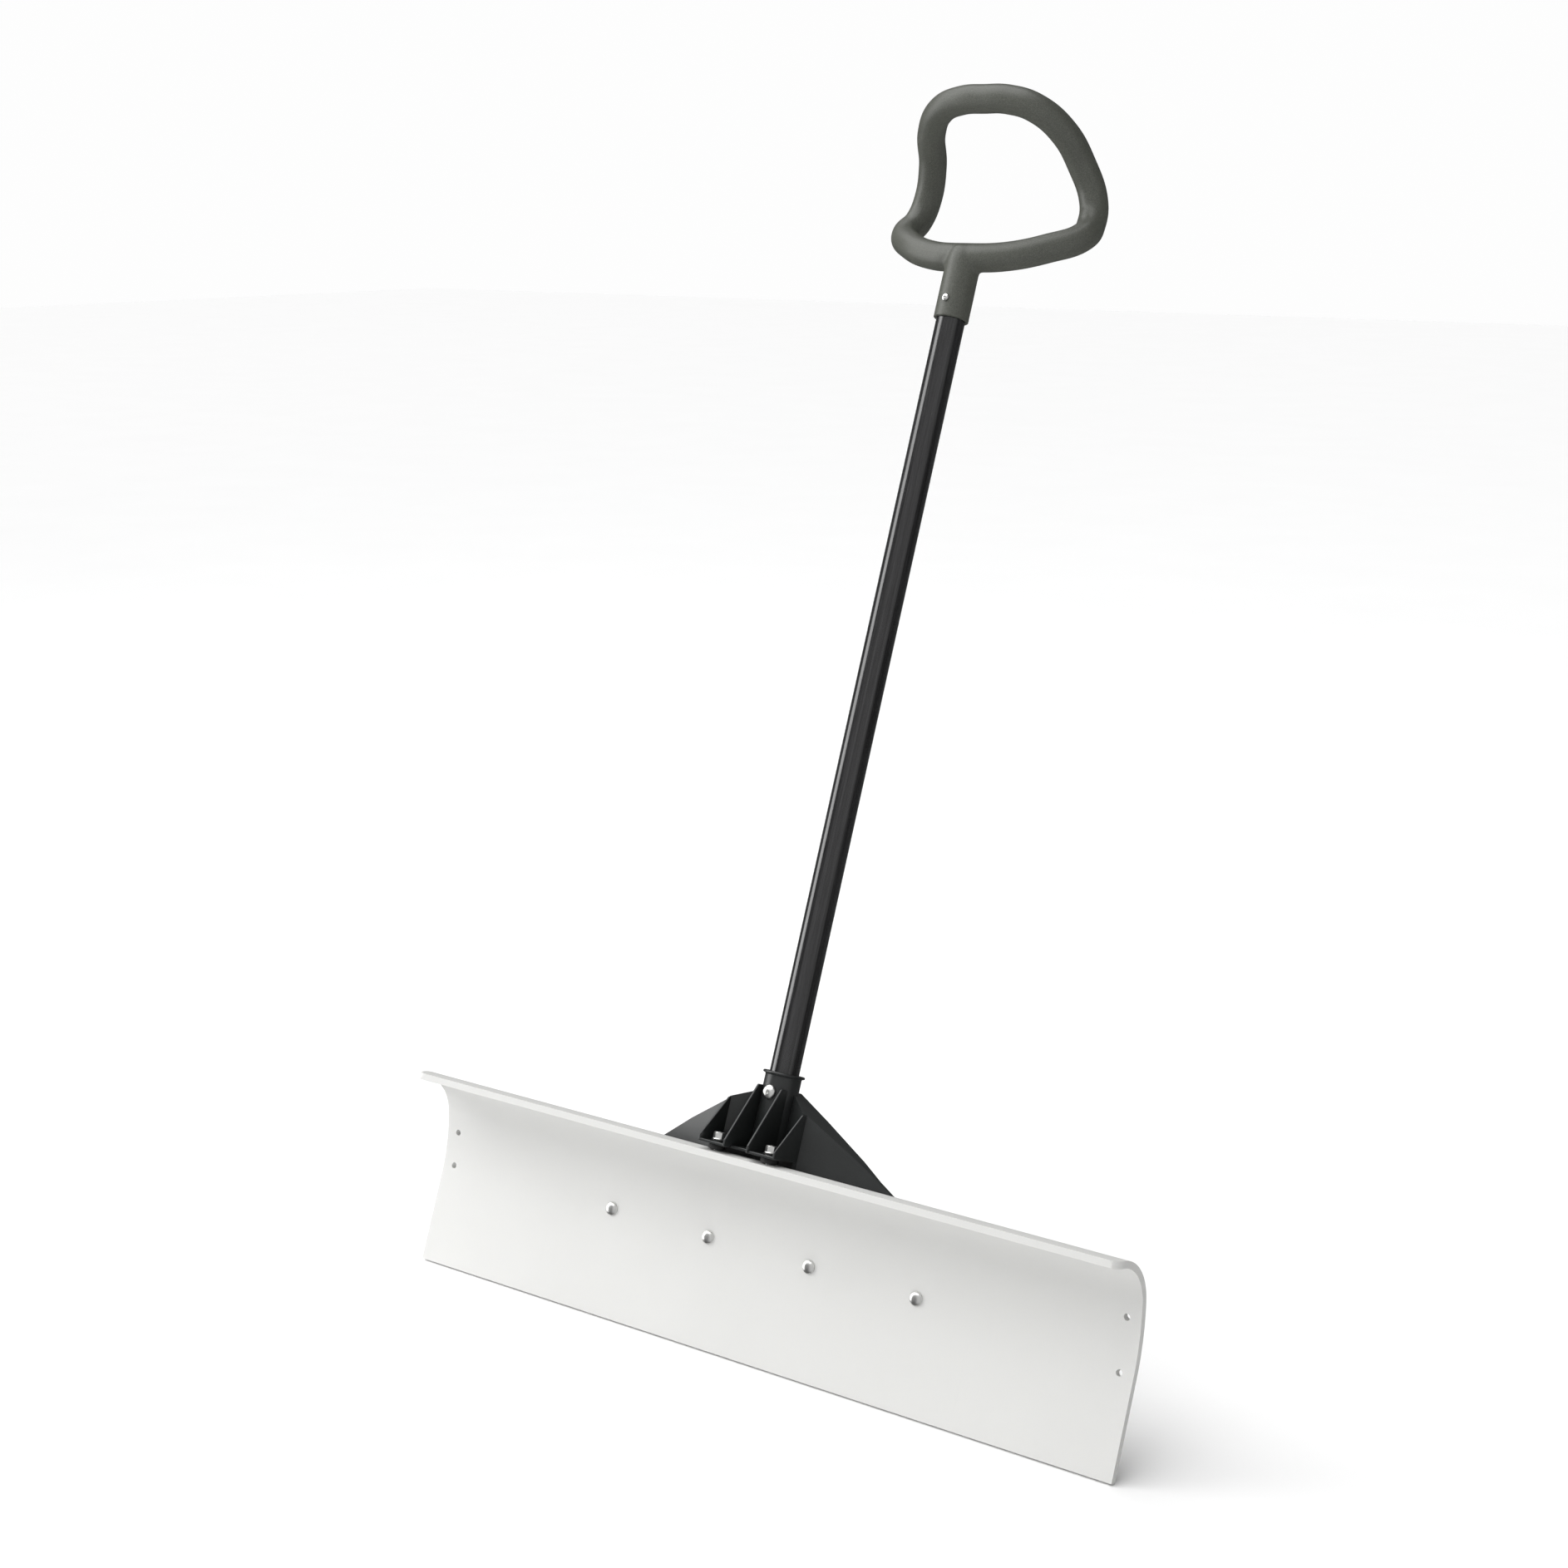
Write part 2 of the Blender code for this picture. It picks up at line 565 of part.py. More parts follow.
def main():
    clear_scene()
    make_blade()
    make_bracket()
    make_shaft()
    make_grip()
    make_fasteners()
    lean_on_stand()


main()
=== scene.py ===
"""Finished surfaces of a snow pusher, modelled around its fixed frame.

Every piece is drawn upright, with the shaft along Z, the blade's width along X and zero at
the middle of the blade's lower edge. STANCE then leans it back to where the frame holds it.
Run it as a script; each operator builds one piece or one group of like pieces.
"""
import json
import math

import bpy
from bpy.props import FloatProperty, FloatVectorProperty, IntProperty, PointerProperty
from mathutils import Matrix, Vector


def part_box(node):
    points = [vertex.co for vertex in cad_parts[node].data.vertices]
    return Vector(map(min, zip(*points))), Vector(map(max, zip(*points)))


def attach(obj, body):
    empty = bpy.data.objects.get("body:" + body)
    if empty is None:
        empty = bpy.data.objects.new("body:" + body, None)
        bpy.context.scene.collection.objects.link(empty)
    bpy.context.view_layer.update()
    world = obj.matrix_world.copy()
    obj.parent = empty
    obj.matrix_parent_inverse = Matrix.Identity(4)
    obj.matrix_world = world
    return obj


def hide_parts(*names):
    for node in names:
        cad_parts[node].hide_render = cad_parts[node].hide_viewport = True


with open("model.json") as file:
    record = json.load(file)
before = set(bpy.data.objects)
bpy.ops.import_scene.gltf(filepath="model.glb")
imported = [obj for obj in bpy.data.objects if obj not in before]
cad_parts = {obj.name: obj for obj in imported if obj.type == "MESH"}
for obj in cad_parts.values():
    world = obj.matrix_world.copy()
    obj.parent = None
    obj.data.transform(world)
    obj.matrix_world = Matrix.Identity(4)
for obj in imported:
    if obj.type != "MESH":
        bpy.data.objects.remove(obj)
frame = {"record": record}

bl_info = {
    "name": "Snow pusher",
    "version": (1, 0, 0),
    "blender": (4, 5, 0),
    "location": "View3D > Sidebar > Snow pusher",
    "description": "Builds the finished surfaces of a wide snow pusher",
    "category": "Object",
}

BODY = "root"
TINY = 1e-6
GAP = 0.0003                    # what touching pieces keep between them

# ---- where the tool stands -----------------------------------------------------------
EDGE = next(m for m in frame["record"]["mounts"] if m["name"] == "blade_edge")
LEAN = math.atan2(-EDGE["axis"][1], -EDGE["axis"][2])
STANCE = Matrix.Translation(EDGE["pos_m"]) @ Matrix.Rotation(-LEAN, 4, "X")
BLADE_LOW, BLADE_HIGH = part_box("blade")

# ---- outlines shared by the pieces, in metres ----------------------------------------
END_HOLES = ((-1, 0.1128), (-1, 0.1510), (1, 0.1040), (1, 0.1582))   # side, height
BLADE_BOLTS_X = (-0.2026, -0.0672, 0.0672, 0.2026)
WING_LINE = ((0.0140, 0.2905), (0.0560, 0.2680), (0.1095, 0.2378), (0.1516, 0.2109), (0.2220, 0.1640))
PANEL_PLAN = ((0.0175, -0.0280), (0.0485, -0.0480), (0.0498, -0.0428), (0.1520, -0.0085), (0.2320, -0.0040))
REAR_RIBS = (0.0, 0.0342, 0.1000, 0.1680)
GRIP_BAR = (0.0, -0.0280, 1.2133)
GRIP_SIDE = (
    (0.0480, -0.0205, 1.2180), (0.0883, -0.0060, 1.2332), (0.1147, 0.0158, 1.2545), (0.1127, 0.0310, 1.2750),
    (0.1078, 0.0331, 1.3020), (0.0968, 0.0127, 1.3340), (0.0846, -0.0205, 1.3595), (0.0604, -0.0455, 1.3757),
    (0.0300, -0.0548, 1.3822),
)
GRIP_TOP = (0.0, -0.0562, 1.3828)
FLAT_END = 0.003                # last short step of the flat, ahead of the bend
LIP_LOW, LIP_HIGH = 0.19, 0.23  # heights between which only the lip lies
LOOP_REACH = 0.011              # from a hole's middle to the edge loops beside it
REAR_Y = 0.0135                 # rear of the bracket's lower part
REAR_BEND, REAR_END = 0.150, 0.222      # heights where its rear line leaves that and meets the socket
BODY_TOP = 0.300
RIB_CREST = -0.0494             # front end of the ribs' upper edges
CENTRE_RIB_TOP, CENTRE_RIB_FRONT = 0.2917, -0.0880
OUTER_RIB_TOP, OUTER_RIB_FRONT = 0.2712, -0.0865
RIB_TOE = 0.0078                # height of the ribs' front ends
WEB_FRONT = -0.0760
COLLAR_ROLL = 0.0014            # radius of the collar's rim
CREASE_DROP = 0.009             # the blend's middle below the bar's axis
CREASE_REACH, CREASE_FADE = 0.022, 0.012


# ---- sizes and colours that a user may change ----------------------------------------
class BladeSizes(bpy.types.PropertyGroup):
    width: FloatProperty(
        name="Width", description="Blade from end to end", default=BLADE_HIGH.x - BLADE_LOW.x, unit="LENGTH")
    sheet: FloatProperty(
        name="Sheet", description="Thickness of the plastic sheet", default=0.0075, unit="LENGTH")
    flat: FloatProperty(
        name="Flat", description="Straight part above the lower edge", default=0.100, unit="LENGTH")
    belly_radius: FloatProperty(
        name="Belly radius", description="Gentle curve above the flat", default=0.213, unit="LENGTH")
    belly_turn: FloatProperty(
        name="Belly turn", description="Angle of the gentle curve",
        default=math.radians(20.4), unit="ROTATION")
    curl_radius: FloatProperty(
        name="Curl radius", description="Tight curve below the lip", default=0.051, unit="LENGTH")
    curl_turn: FloatProperty(
        name="Curl turn", description="Angle of the tight curve", default=math.radians(78.0), unit="ROTATION")
    lip: FloatProperty(
        name="Lip", description="Straight end of the lip", default=0.012, unit="LENGTH")
    lip_corner: FloatProperty(
        name="Lip corner", description="Rounding of the lip's two corners", default=0.012, unit="LENGTH")
    end_hole: FloatProperty(
        name="End holes", description="Width of the holes near both ends", default=0.007, unit="LENGTH")
    end_inset: FloatProperty(
        name="Hole inset", description="From a blade end to its holes", default=0.016, unit="LENGTH")
    edge_round: FloatProperty(
        name="Edge rounding", description="Softness of the sheet's cut edges", default=0.0005, unit="LENGTH")


class BracketSizes(bpy.types.PropertyGroup):
    wall: FloatProperty(
        name="Wall", description="Thickness of the moulded walls", default=0.003, unit="LENGTH")
    rib: FloatProperty(
        name="Rib", description="Thickness of the ribs", default=0.0026, unit="LENGTH")
    centre_rib: FloatProperty(
        name="Centre ribs", description="Centre ribs from the middle", default=0.0152, unit="LENGTH")
    outer_rib: FloatProperty(
        name="Outer ribs", description="Outer ribs from the middle", default=0.0485, unit="LENGTH")
    half: FloatProperty(
        name="Half width", description="Middle to the hidden ends", default=0.222, unit="LENGTH")
    base: FloatProperty(
        name="Base height", description="Lower end of the bracket behind the blade",
        default=0.097, unit="LENGTH")
    foot: FloatProperty(
        name="Foot height", description="Underside of the two feet", default=0.2208, unit="LENGTH")
    foot_wall: FloatProperty(
        name="Foot thickness", description="Thickness of the feet", default=0.0030, unit="LENGTH")
    socket: FloatProperty(
        name="Socket", description="Outer width of the shaft socket", default=0.0394, unit="LENGTH")
    socket_top: FloatProperty(
        name="Socket top", description="Height of the collar's rim", default=0.3082, unit="LENGTH")
    socket_floor: FloatProperty(
        name="Socket floor", description="Height at which the socket's bore ends",
        default=0.2295, unit="LENGTH")
    collar: FloatProperty(
        name="Collar", description="Outer width of the collar", default=0.0455, unit="LENGTH")
    boss: FloatProperty(
        name="Boss", description="Width of the pads round the blade bolts", default=0.020, unit="LENGTH")
    boss_height: FloatProperty(
        name="Boss height", description="Pads above the sheet's back", default=0.008, unit="LENGTH")
    fold_round: FloatProperty(
        name="Fold rounding", description="Softness of the outer folds", default=0.0020, unit="LENGTH")
    rib_round: FloatProperty(
        name="Rib rounding", description="Softness of the ribs' edges", default=0.0010, unit="LENGTH")


class HandleSizes(bpy.types.PropertyGroup):
    shaft_y: FloatProperty(
        name="Shaft line", description="Shaft's axis behind the blade's face", default=-0.028, unit="LENGTH")
    shaft: FloatProperty(
        name="Shaft", description="Outer width of the tube", default=0.03175, unit="LENGTH")
    shaft_wall: FloatProperty(
        name="Tube wall", description="Wall of the tube", default=0.003, unit="LENGTH")
    shaft_low: FloatProperty(
        name="Shaft foot", description="Lower end of the tube", default=0.234, unit="LENGTH")
    shaft_high: FloatProperty(
        name="Shaft top", description="Upper end of the tube", default=1.192, unit="LENGTH")
    tube: FloatProperty(
        name="Grip tube", description="Radius of the loop", default=0.0158, unit="LENGTH")
    stem: FloatProperty(
        name="Stem", description="Outer width of the grip's stem", default=0.0385, unit="LENGTH")
    stem_low: FloatProperty(
        name="Stem foot", description="Lower end of the stem", default=1.142, unit="LENGTH")
    bore_high: FloatProperty(
        name="Stem bore", description="Height at which the stem's bore ends", default=1.195, unit="LENGTH")
    voxel: FloatProperty(
        name="Blend grain", description="Grain of the blend of loop and stem", default=0.0013, unit="LENGTH")
    blend: IntProperty(
        name="Blend passes", description="Smoothing passes where loop and stem meet", default=32)


class HardwareSizes(bpy.types.PropertyGroup):
    bolt: FloatProperty(name="Bolt", description="Shank of the bolts", default=0.00635, unit="LENGTH")
    bolt_hole: FloatProperty(
        name="Bolt hole", description="Clearance for a bolt", default=0.007, unit="LENGTH")
    pitch: FloatProperty(
        name="Thread pitch", description="Thread of the bolts", default=0.00127, unit="LENGTH")
    head: FloatProperty(name="Bolt head", description="Carriage bolt head", default=0.015, unit="LENGTH")
    rise: FloatProperty(
        name="Head rise", description="Height of the domed head", default=0.0036, unit="LENGTH")
    length: FloatProperty(
        name="Bolt length", description="Carriage bolt shank", default=0.0275, unit="LENGTH")
    lip_rise: FloatProperty(
        name="Lip head rise", description="Flat heads under the lip", default=0.0016, unit="LENGTH")
    lip_length: FloatProperty(
        name="Lip bolt length", description="Lip bolt shank", default=0.0285, unit="LENGTH")
    neck: FloatProperty(
        name="Square neck", description="Depth of the square neck", default=0.005, unit="LENGTH")
    nut: FloatProperty(name="Nut", description="Nut across its flats", default=0.0111, unit="LENGTH")
    nut_height: FloatProperty(name="Nut height", description="Height of a nut", default=0.0080, unit="LENGTH")
    washer: FloatProperty(name="Washer", description="Outer width of a washer", default=0.016, unit="LENGTH")
    washer_wall: FloatProperty(
        name="Washer wall", description="Washer thickness", default=0.0012, unit="LENGTH")
    blade_bolt_z: FloatProperty(
        name="Blade bolt height", description="Row of bolts above the edge", default=0.1169, unit="LENGTH")
    lip_bolt_x: FloatProperty(
        name="Lip bolts", description="Lip bolts from the middle", default=0.0342, unit="LENGTH")
    lip_bolt_y: FloatProperty(
        name="Lip bolt line", description="Lip bolts ahead of the face", default=-0.0715, unit="LENGTH")
    spacer: FloatProperty(name="Spacer", description="Outer width of a spacer", default=0.018, unit="LENGTH")
    cross_z: FloatProperty(
        name="Socket bolt height", description="Bolt through the socket", default=0.286, unit="LENGTH")
    cross_head: FloatProperty(
        name="Socket bolt head", description="Width of that bolt's head", default=0.0156, unit="LENGTH")
    screw_z: FloatProperty(
        name="Screw height", description="Screw in the grip's stem", default=1.1614, unit="LENGTH")
    screw: FloatProperty(name="Screw", description="Shank of that screw", default=0.004, unit="LENGTH")
    screw_head: FloatProperty(
        name="Screw head", description="Head of that screw", default=0.0082, unit="LENGTH")


class Finishes(bpy.types.PropertyGroup):
    sheet: FloatVectorProperty(
        name="Sheet", description="White blade sheet", default=(0.70, 0.70, 0.685), subtype="COLOR")
    nylon: FloatVectorProperty(
        name="Bracket", description="Black bracket moulding", default=(0.023, 0.025, 0.025), subtype="COLOR")
    tube: FloatVectorProperty(
        name="Shaft", description="Black glossy tube", default=(0.008, 0.008, 0.0085), subtype="COLOR")
    grip: FloatVectorProperty(
        name="Grip", description="Grey grip moulding", default=(0.085, 0.089, 0.075), subtype="COLOR")
    zinc: FloatVectorProperty(
        name="Zinc", description="Bright plated steel", default=(0.80, 0.80, 0.785), subtype="COLOR")
    rubber: FloatVectorProperty(
        name="Spacers", description="Black spacers and washers",
        default=(0.012, 0.012, 0.012), subtype="COLOR")


# ---- materials -----------------------------------------------------------------------
class Wire:
    """One output of a node; arithmetic on it adds Math nodes."""

    def __init__(self, graph, socket):
        self.graph = graph
        self.socket = socket

    def math(self, operation, first, second):
        return self.graph.add("ShaderNodeMath", {"operation": operation}, {0: first, 1: second})

    def __add__(self, other):
        return self.math("ADD", self, other)

    def __radd__(self, other):
        return self.math("ADD", other, self)

    def __sub__(self, other):
        return self.math("SUBTRACT", self, other)

    def __rsub__(self, other):
        return self.math("SUBTRACT", other, self)

    def __mul__(self, other):
        return self.math("MULTIPLY", self, other)

    def __rmul__(self, other):
        return self.math("MULTIPLY", other, self)

    def __pow__(self, other):
        return self.math("POWER", self, other)


class Graph:
    """The nodes of one material."""

    def __init__(self, name):
        self.material = bpy.data.materials.new(name)
        self.material.use_nodes = True
        self.tree = self.material.node_tree
        self.tree.nodes.clear()

    def add(self, kind, settings=None, sockets=None, output=0):
        """A node with its settings made first, then its sockets' values or links."""
        node = self.tree.nodes.new(kind)
        for key, value in (settings or {}).items():
            if key == "stops":
                self.set_stops(node.color_ramp, value)
            else:
                setattr(node, key, value)
        for key, value in (sockets or {}).items():
            if isinstance(value, Wire):
                self.tree.links.new(value.socket, node.inputs[key])
            else:
                node.inputs[key].default_value = value
        return Wire(self, node.outputs[output])

    @staticmethod
    def set_stops(ramp, stops):
        while len(ramp.elements) < len(stops):
            ramp.elements.new(1.0)
        for element, (place, level) in zip(ramp.elements, stops):
            element.position = place
            element.color = (level, level, level, 1.0)

    def upright(self, stretch=(1.0, 1.0, 1.0)):
        """Object coordinates turned back upright and stretched along the tool's own axes."""
        place = self.add("ShaderNodeTexCoord", output=3)
        turned = self.add("ShaderNodeMapping", None, {"Vector": place, "Rotation": (LEAN, 0.0, 0.0)})
        return self.add("ShaderNodeMapping", None, {"Vector": turned, "Scale": stretch})

    def noise(self, where, scale, detail=2.0, roughness=0.5):
        sockets = {"Vector": where, "Scale": scale, "Detail": detail, "Roughness": roughness}
        return self.add("ShaderNodeTexNoise", None, sockets)

    def ramp(self, level, *stops):
        return self.add("ShaderNodeValToRGB", {"stops": stops}, {"Fac": level})

    def tint(self, share, first, second):
        """A colour between two, by a share from 0 to 1."""
        sockets = {0: share, 6: (*first, 1.0), 7: (*second, 1.0)}
        return self.add("ShaderNodeMix", {"data_type": "RGBA"}, sockets, 2)

    def bump(self, height, depth, strength=1.0):
        return self.add("ShaderNodeBump", None, {"Strength": strength, "Distance": depth, "Height": height})

    def close(self, **sockets):
        """The Principled shader; keys are socket names with _ for a space."""
        named = {key.replace("_", " "): value for key, value in sockets.items()}
        shader = self.add("ShaderNodeBsdfPrincipled", None, named)
        self.add_output(shader)
        return self.material

    def add_output(self, shader):
        output = self.tree.nodes.new("ShaderNodeOutputMaterial")
        self.tree.links.new(shader.socket, output.inputs["Surface"])


def scaled(colour, factor):
    return tuple(min(1.0, channel * factor) for channel in colour)


def sheet_material(colour):
    """Waxy white sheet: faint clouding, a few long handling scratches and a soft peel."""
    graph = Graph("white_sheet")
    where = graph.upright()
    clouds = graph.noise(where, 7.0, 3.0)
    grain = graph.noise(where, 1300.0, 2.0)
    scratches = graph.noise(graph.upright((26.0, 26.0, 1.6)), 9.0, 4.0, 0.7)
    scuffs = graph.ramp(scratches, (0.60, 0.0), (0.74, 1.0))
    shade = clouds * 0.55 + grain * 0.45
    body = graph.tint(shade, scaled(colour, 0.955), scaled(colour, 1.03))
    base = graph.add(
        "ShaderNodeMix", {"data_type": "RGBA"},
        {0: scuffs * 0.05, 6: body, 7: (*scaled(colour, 0.82), 1.0)}, 2)
    height = graph.noise(where, 520.0, 2.0) * 0.7 + graph.noise(where, 90.0, 2.0) * 0.3
    return graph.close(
        Base_Color=base, Roughness=clouds * 0.14 + scuffs * 0.06 + 0.36,
        Normal=graph.bump(height, 0.00012, 0.35),
        Subsurface_Weight=0.12, Subsurface_Radius=(0.9, 0.9, 0.8), Subsurface_Scale=0.002, IOR=1.5)


def nylon_material(colour):
    """Glass-filled nylon: fine spark-eroded grain with dull and shiny patches."""
    graph = Graph("black_nylon")
    where = graph.upright()
    grain = graph.noise(where, 850.0, 3.0, 0.6)
    flow = graph.noise(where, 34.0, 3.0, 0.55)
    base = graph.tint(grain * 0.5 + flow * 0.5, scaled(colour, 0.45), scaled(colour, 1.55))
    height = grain * 0.75 + graph.noise(where, 420.0, 2.0) * 0.25
    return graph.close(
        Base_Color=base, Roughness=flow * 0.12 + grain * 0.10 + 0.22,
        Normal=graph.bump(height, 0.00016, 0.45), IOR=1.5)


def tube_material(colour):
    """Glossy black tube with faint streaks along its length under a clear coat."""
    graph = Graph("black_tube")
    streaks = graph.noise(graph.upright((1.0, 1.0, 0.006)), 620.0, 3.0, 0.6)
    fibres = graph.noise(graph.upright((1.0, 1.0, 0.02)), 1900.0, 2.0, 0.5)
    marks = graph.noise(graph.upright(), 60.0, 4.0, 0.6)
    share = graph.ramp(streaks * 0.65 + fibres * 0.35, (0.38, 0.0), (0.66, 1.0))
    base = graph.tint(share, scaled(colour, 0.4), scaled(colour, 3.0))
    height = streaks * 0.6 + fibres * 0.4
    return graph.close(
        Base_Color=base, Roughness=share * 0.12 + marks * 0.08 + 0.10,
        Normal=graph.bump(height, 0.00007, 0.35),
        Coat_Weight=share * 0.55 + 0.45, Coat_Roughness=0.10, IOR=1.52)


def grip_material(colour):
    """Grey moulding with a sandy grain and patches polished by hands."""
    graph = Graph("grey_grip")
    where = graph.upright()
    sand = graph.noise(where, 560.0, 3.0, 0.65)
    specks = graph.ramp(graph.noise(where, 1150.0, 2.0), (0.42, 0.0), (0.66, 1.0))
    flow = graph.noise(where, 22.0, 3.0)
    share = sand * 0.45 + specks * 0.35 + flow * 0.20
    base = graph.tint(share, scaled(colour, 0.42), scaled(colour, 1.62))
    return graph.close(
        Base_Color=base, Roughness=flow * 0.10 + specks * 0.08 + 0.34,
        Normal=graph.bump(sand * 0.7 + specks * 0.3, 0.00022, 0.5), IOR=1.5)


def zinc_material(colour):
    """Bright zinc plate: small dull blooms and fine tumbling marks."""
    graph = Graph("bright_zinc")
    where = graph.upright()
    bloom = graph.noise(where, 260.0, 4.0, 0.6)
    marks = graph.noise(where, 2400.0, 2.0)
    base = graph.tint(bloom, scaled(colour, 0.80), scaled(colour, 1.18))
    return graph.close(
        Base_Color=base, Metallic=1.0, Roughness=bloom * 0.16 + marks * 0.08 + 0.19,
        Normal=graph.bump(marks, 0.00004, 0.3))


def rubber_material(colour):
    """Dull black spacer rubber with a dusty grain."""
    graph = Graph("black_rubber")
    where = graph.upright()
    dust = graph.noise(where, 700.0, 3.0)
    base = graph.tint(dust, scaled(colour, 0.7), scaled(colour, 1.9))
    return graph.close(
        Base_Color=base, Roughness=dust * 0.2 + 0.55, Normal=graph.bump(dust, 0.0001, 0.4))


def floor_material():
    """Pale paper floor with a barely visible mottle."""
    graph = Graph("pale_floor")
    mottle = graph.noise(graph.add("ShaderNodeTexCoord", output=3), 3.0, 3.0)
    base = graph.tint(mottle, (0.955, 0.955, 0.955), (0.985, 0.985, 0.985))
    return graph.close(Base_Color=base, Roughness=0.9)


MAKERS = {
    "blade_sheet": ("sheet", sheet_material),
    "bracket_moulding": ("nylon", nylon_material),
    "shaft_tube": ("tube", tube_material),
    "grip_moulding": ("grip", grip_material),
    "zinc_fasteners": ("zinc", zinc_material),
    "black_spacers": ("rubber", rubber_material),
}
MADE = {}


def slot_material(slot):
    """The material of one slot, made once."""
    if slot not in MADE:
        colour, maker = MAKERS[slot]
        MADE[slot] = maker(tuple(getattr(bpy.context.scene.pusher_finishes, colour)))
    return MADE[slot]


# ---- modelling by hand ---------------------------------------------------------------
AXES = {"X": Vector((1, 0, 0)), "Y": Vector((0, 1, 0)), "Z": Vector((0, 0, 1))}


def mode(name):
    bpy.ops.object.mode_set(mode=name)


def pick_none():
    """Nothing selected, so that an operator acts only on what comes next."""
    bpy.ops.object.select_all(action="DESELECT")


def pick(piece):
    pick_none()
    piece.select_set(True)
    bpy.context.view_layer.objects.active = piece


def trace(name, points, closed=False):
    """A line drawn point by point from one vertex; it ends in edit mode with all selected."""
    pick_none()
    bpy.ops.mesh.primitive_plane_add(size=0.001)
    piece = bpy.context.object
    piece.name = name
    mode("EDIT")
    bpy.ops.mesh.select_all(action="SELECT")
    bpy.ops.mesh.merge(type="CENTER")
    bpy.ops.transform.translate(value=points[0])
    route = list(points) + ([points[0]] if closed else [])
    for start, end in zip(route, route[1:]):
        step = Vector(end) - Vector(start)
        bpy.ops.mesh.extrude_vertices_move(TRANSFORM_OT_translate={"value": step})
    bpy.ops.mesh.select_all(action="SELECT")
    bpy.ops.mesh.remove_doubles(threshold=TINY)
    return piece


def face_outwards():
    """Merges doubles, turns every face outwards and leaves edit mode."""
    bpy.ops.mesh.select_all(action="SELECT")
    bpy.ops.mesh.remove_doubles(threshold=TINY)
    bpy.ops.mesh.normals_make_consistent(inside=False)
    mode("OBJECT")


def slab(name, outline, axis, low, high):
    """An outline drawn across one axis and extruded along it."""
    place = {
        "X": lambda a, b: (low, a, b),
        "Y": lambda a, b: (a, low, b),
        "Z": lambda a, b: (a, b, low),
    }[axis]
    piece = trace(name, [place(a, b) for a, b in outline], closed=True)
    bpy.ops.mesh.edge_face_add()
    bpy.ops.mesh.extrude_region_move(TRANSFORM_OT_translate={"value": AXES[axis] * (high - low)})
    face_outwards()
    return piece


def block(name, low, high):
    """A box between two corners."""
    corners = ((low[0], low[1]), (high[0], low[1]), (high[0], high[1]), (low[0], high[1]))
    return slab(name, corners, "Z", low[2], high[2])


def lathe(name, profile, steps=64, closed=False):
    """A profile of (radius, height) points spun round Z."""
    piece = trace(name, [(radius, 0.0, height) for radius, height in profile], closed)
    bpy.ops.mesh.spin(steps=steps, angle=math.tau, center=(0, 0, 0), axis=(0, 0, 1))
    face_outwards()
    return piece


def rod(name, diameter, start, end, vertices=48):
    """A round bar between two points."""
    start, end = Vector(start), Vector(end)
    along = end - start
    pick_none()
    bpy.ops.mesh.primitive_cylinder_add(
        vertices=vertices, radius=diameter / 2, depth=along.length, location=(start + end) / 2,
        rotation=along.to_track_quat("Z", "Y").to_euler())
    bpy.context.object.name = name
    return bpy.context.object


def soften(piece, width, angle=35.0, segments=3):
    """Rounds every edge that turns more than the angle."""
    pick(piece)
    mode("EDIT")
    bpy.ops.mesh.select_mode(type="EDGE")
    bpy.ops.mesh.select_all(action="DESELECT")
    bpy.ops.mesh.edges_select_sharp(sharpness=math.radians(angle))
    bpy.ops.mesh.bevel(offset=width, segments=segments, affect="EDGES", clamp_overlap=True)
    bpy.ops.mesh.select_mode(type="VERT")
    face_outwards()
    return piece


def combine(piece, tool, operation):
    """Joins, cuts or intersects two closed pieces for good, and drops the tool."""
    pick(piece)
    change = piece.modifiers.new(operation.lower(), "BOOLEAN")
    change.operation = operation
    change.solver = "EXACT"
    change.object = tool
    bpy.ops.object.modifier_apply(modifier=change.name)
    bpy.data.objects.remove(tool, do_unlink=True)
    return piece


def cut(piece, *tools):
    for tool in tools:
        combine(piece, tool, "DIFFERENCE")


def fuse(piece, *tools):
    for tool in tools:
        combine(piece, tool, "UNION")


def keep_common(piece, *tools):
    for tool in tools:
        combine(piece, tool, "INTERSECT")


def aim(origin, direction):
    """The placing that puts Z along a direction, with its zero at the origin."""
    turn = Vector(direction).to_track_quat("Z", "Y").to_matrix().to_4x4()
    return Matrix.Translation(origin) @ turn


def settle(piece, matrix):
    """Moves a piece to its place and puts that place into its mesh."""
    piece.matrix_world = matrix
    pick(piece)
    bpy.ops.object.transform_apply(location=True, rotation=True, scale=True)


def hand_over(piece, node, slot, matrix=None, smooth=32.0):
    """Leans a finished piece to where its node stands, dresses it and fixes it to the frame."""
    settle(piece, STANCE @ (matrix or Matrix.Identity(4)))
    bpy.ops.object.shade_smooth_by_angle(angle=math.radians(smooth))
    piece.name = node + "_finished"
    piece.data.materials.clear()
    piece.data.materials.append(slot_material(slot))
    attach(piece, BODY)
    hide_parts(node)


def even_shading(piece):
    """Lets the broad faces rule the shading, so that rounded edges don't pull on them."""
    pick(piece)
    bpy.ops.object.modifier_add(type="WEIGHTED_NORMAL")
    piece.modifiers[-1].keep_sharp = True
    bpy.ops.object.modifier_apply(modifier=piece.modifiers[-1].name)


def copy_of(piece):
    """A copy with its own mesh."""
    twin = piece.copy()
    twin.data = piece.data.copy()
    bpy.context.scene.collection.objects.link(twin)
    return twin


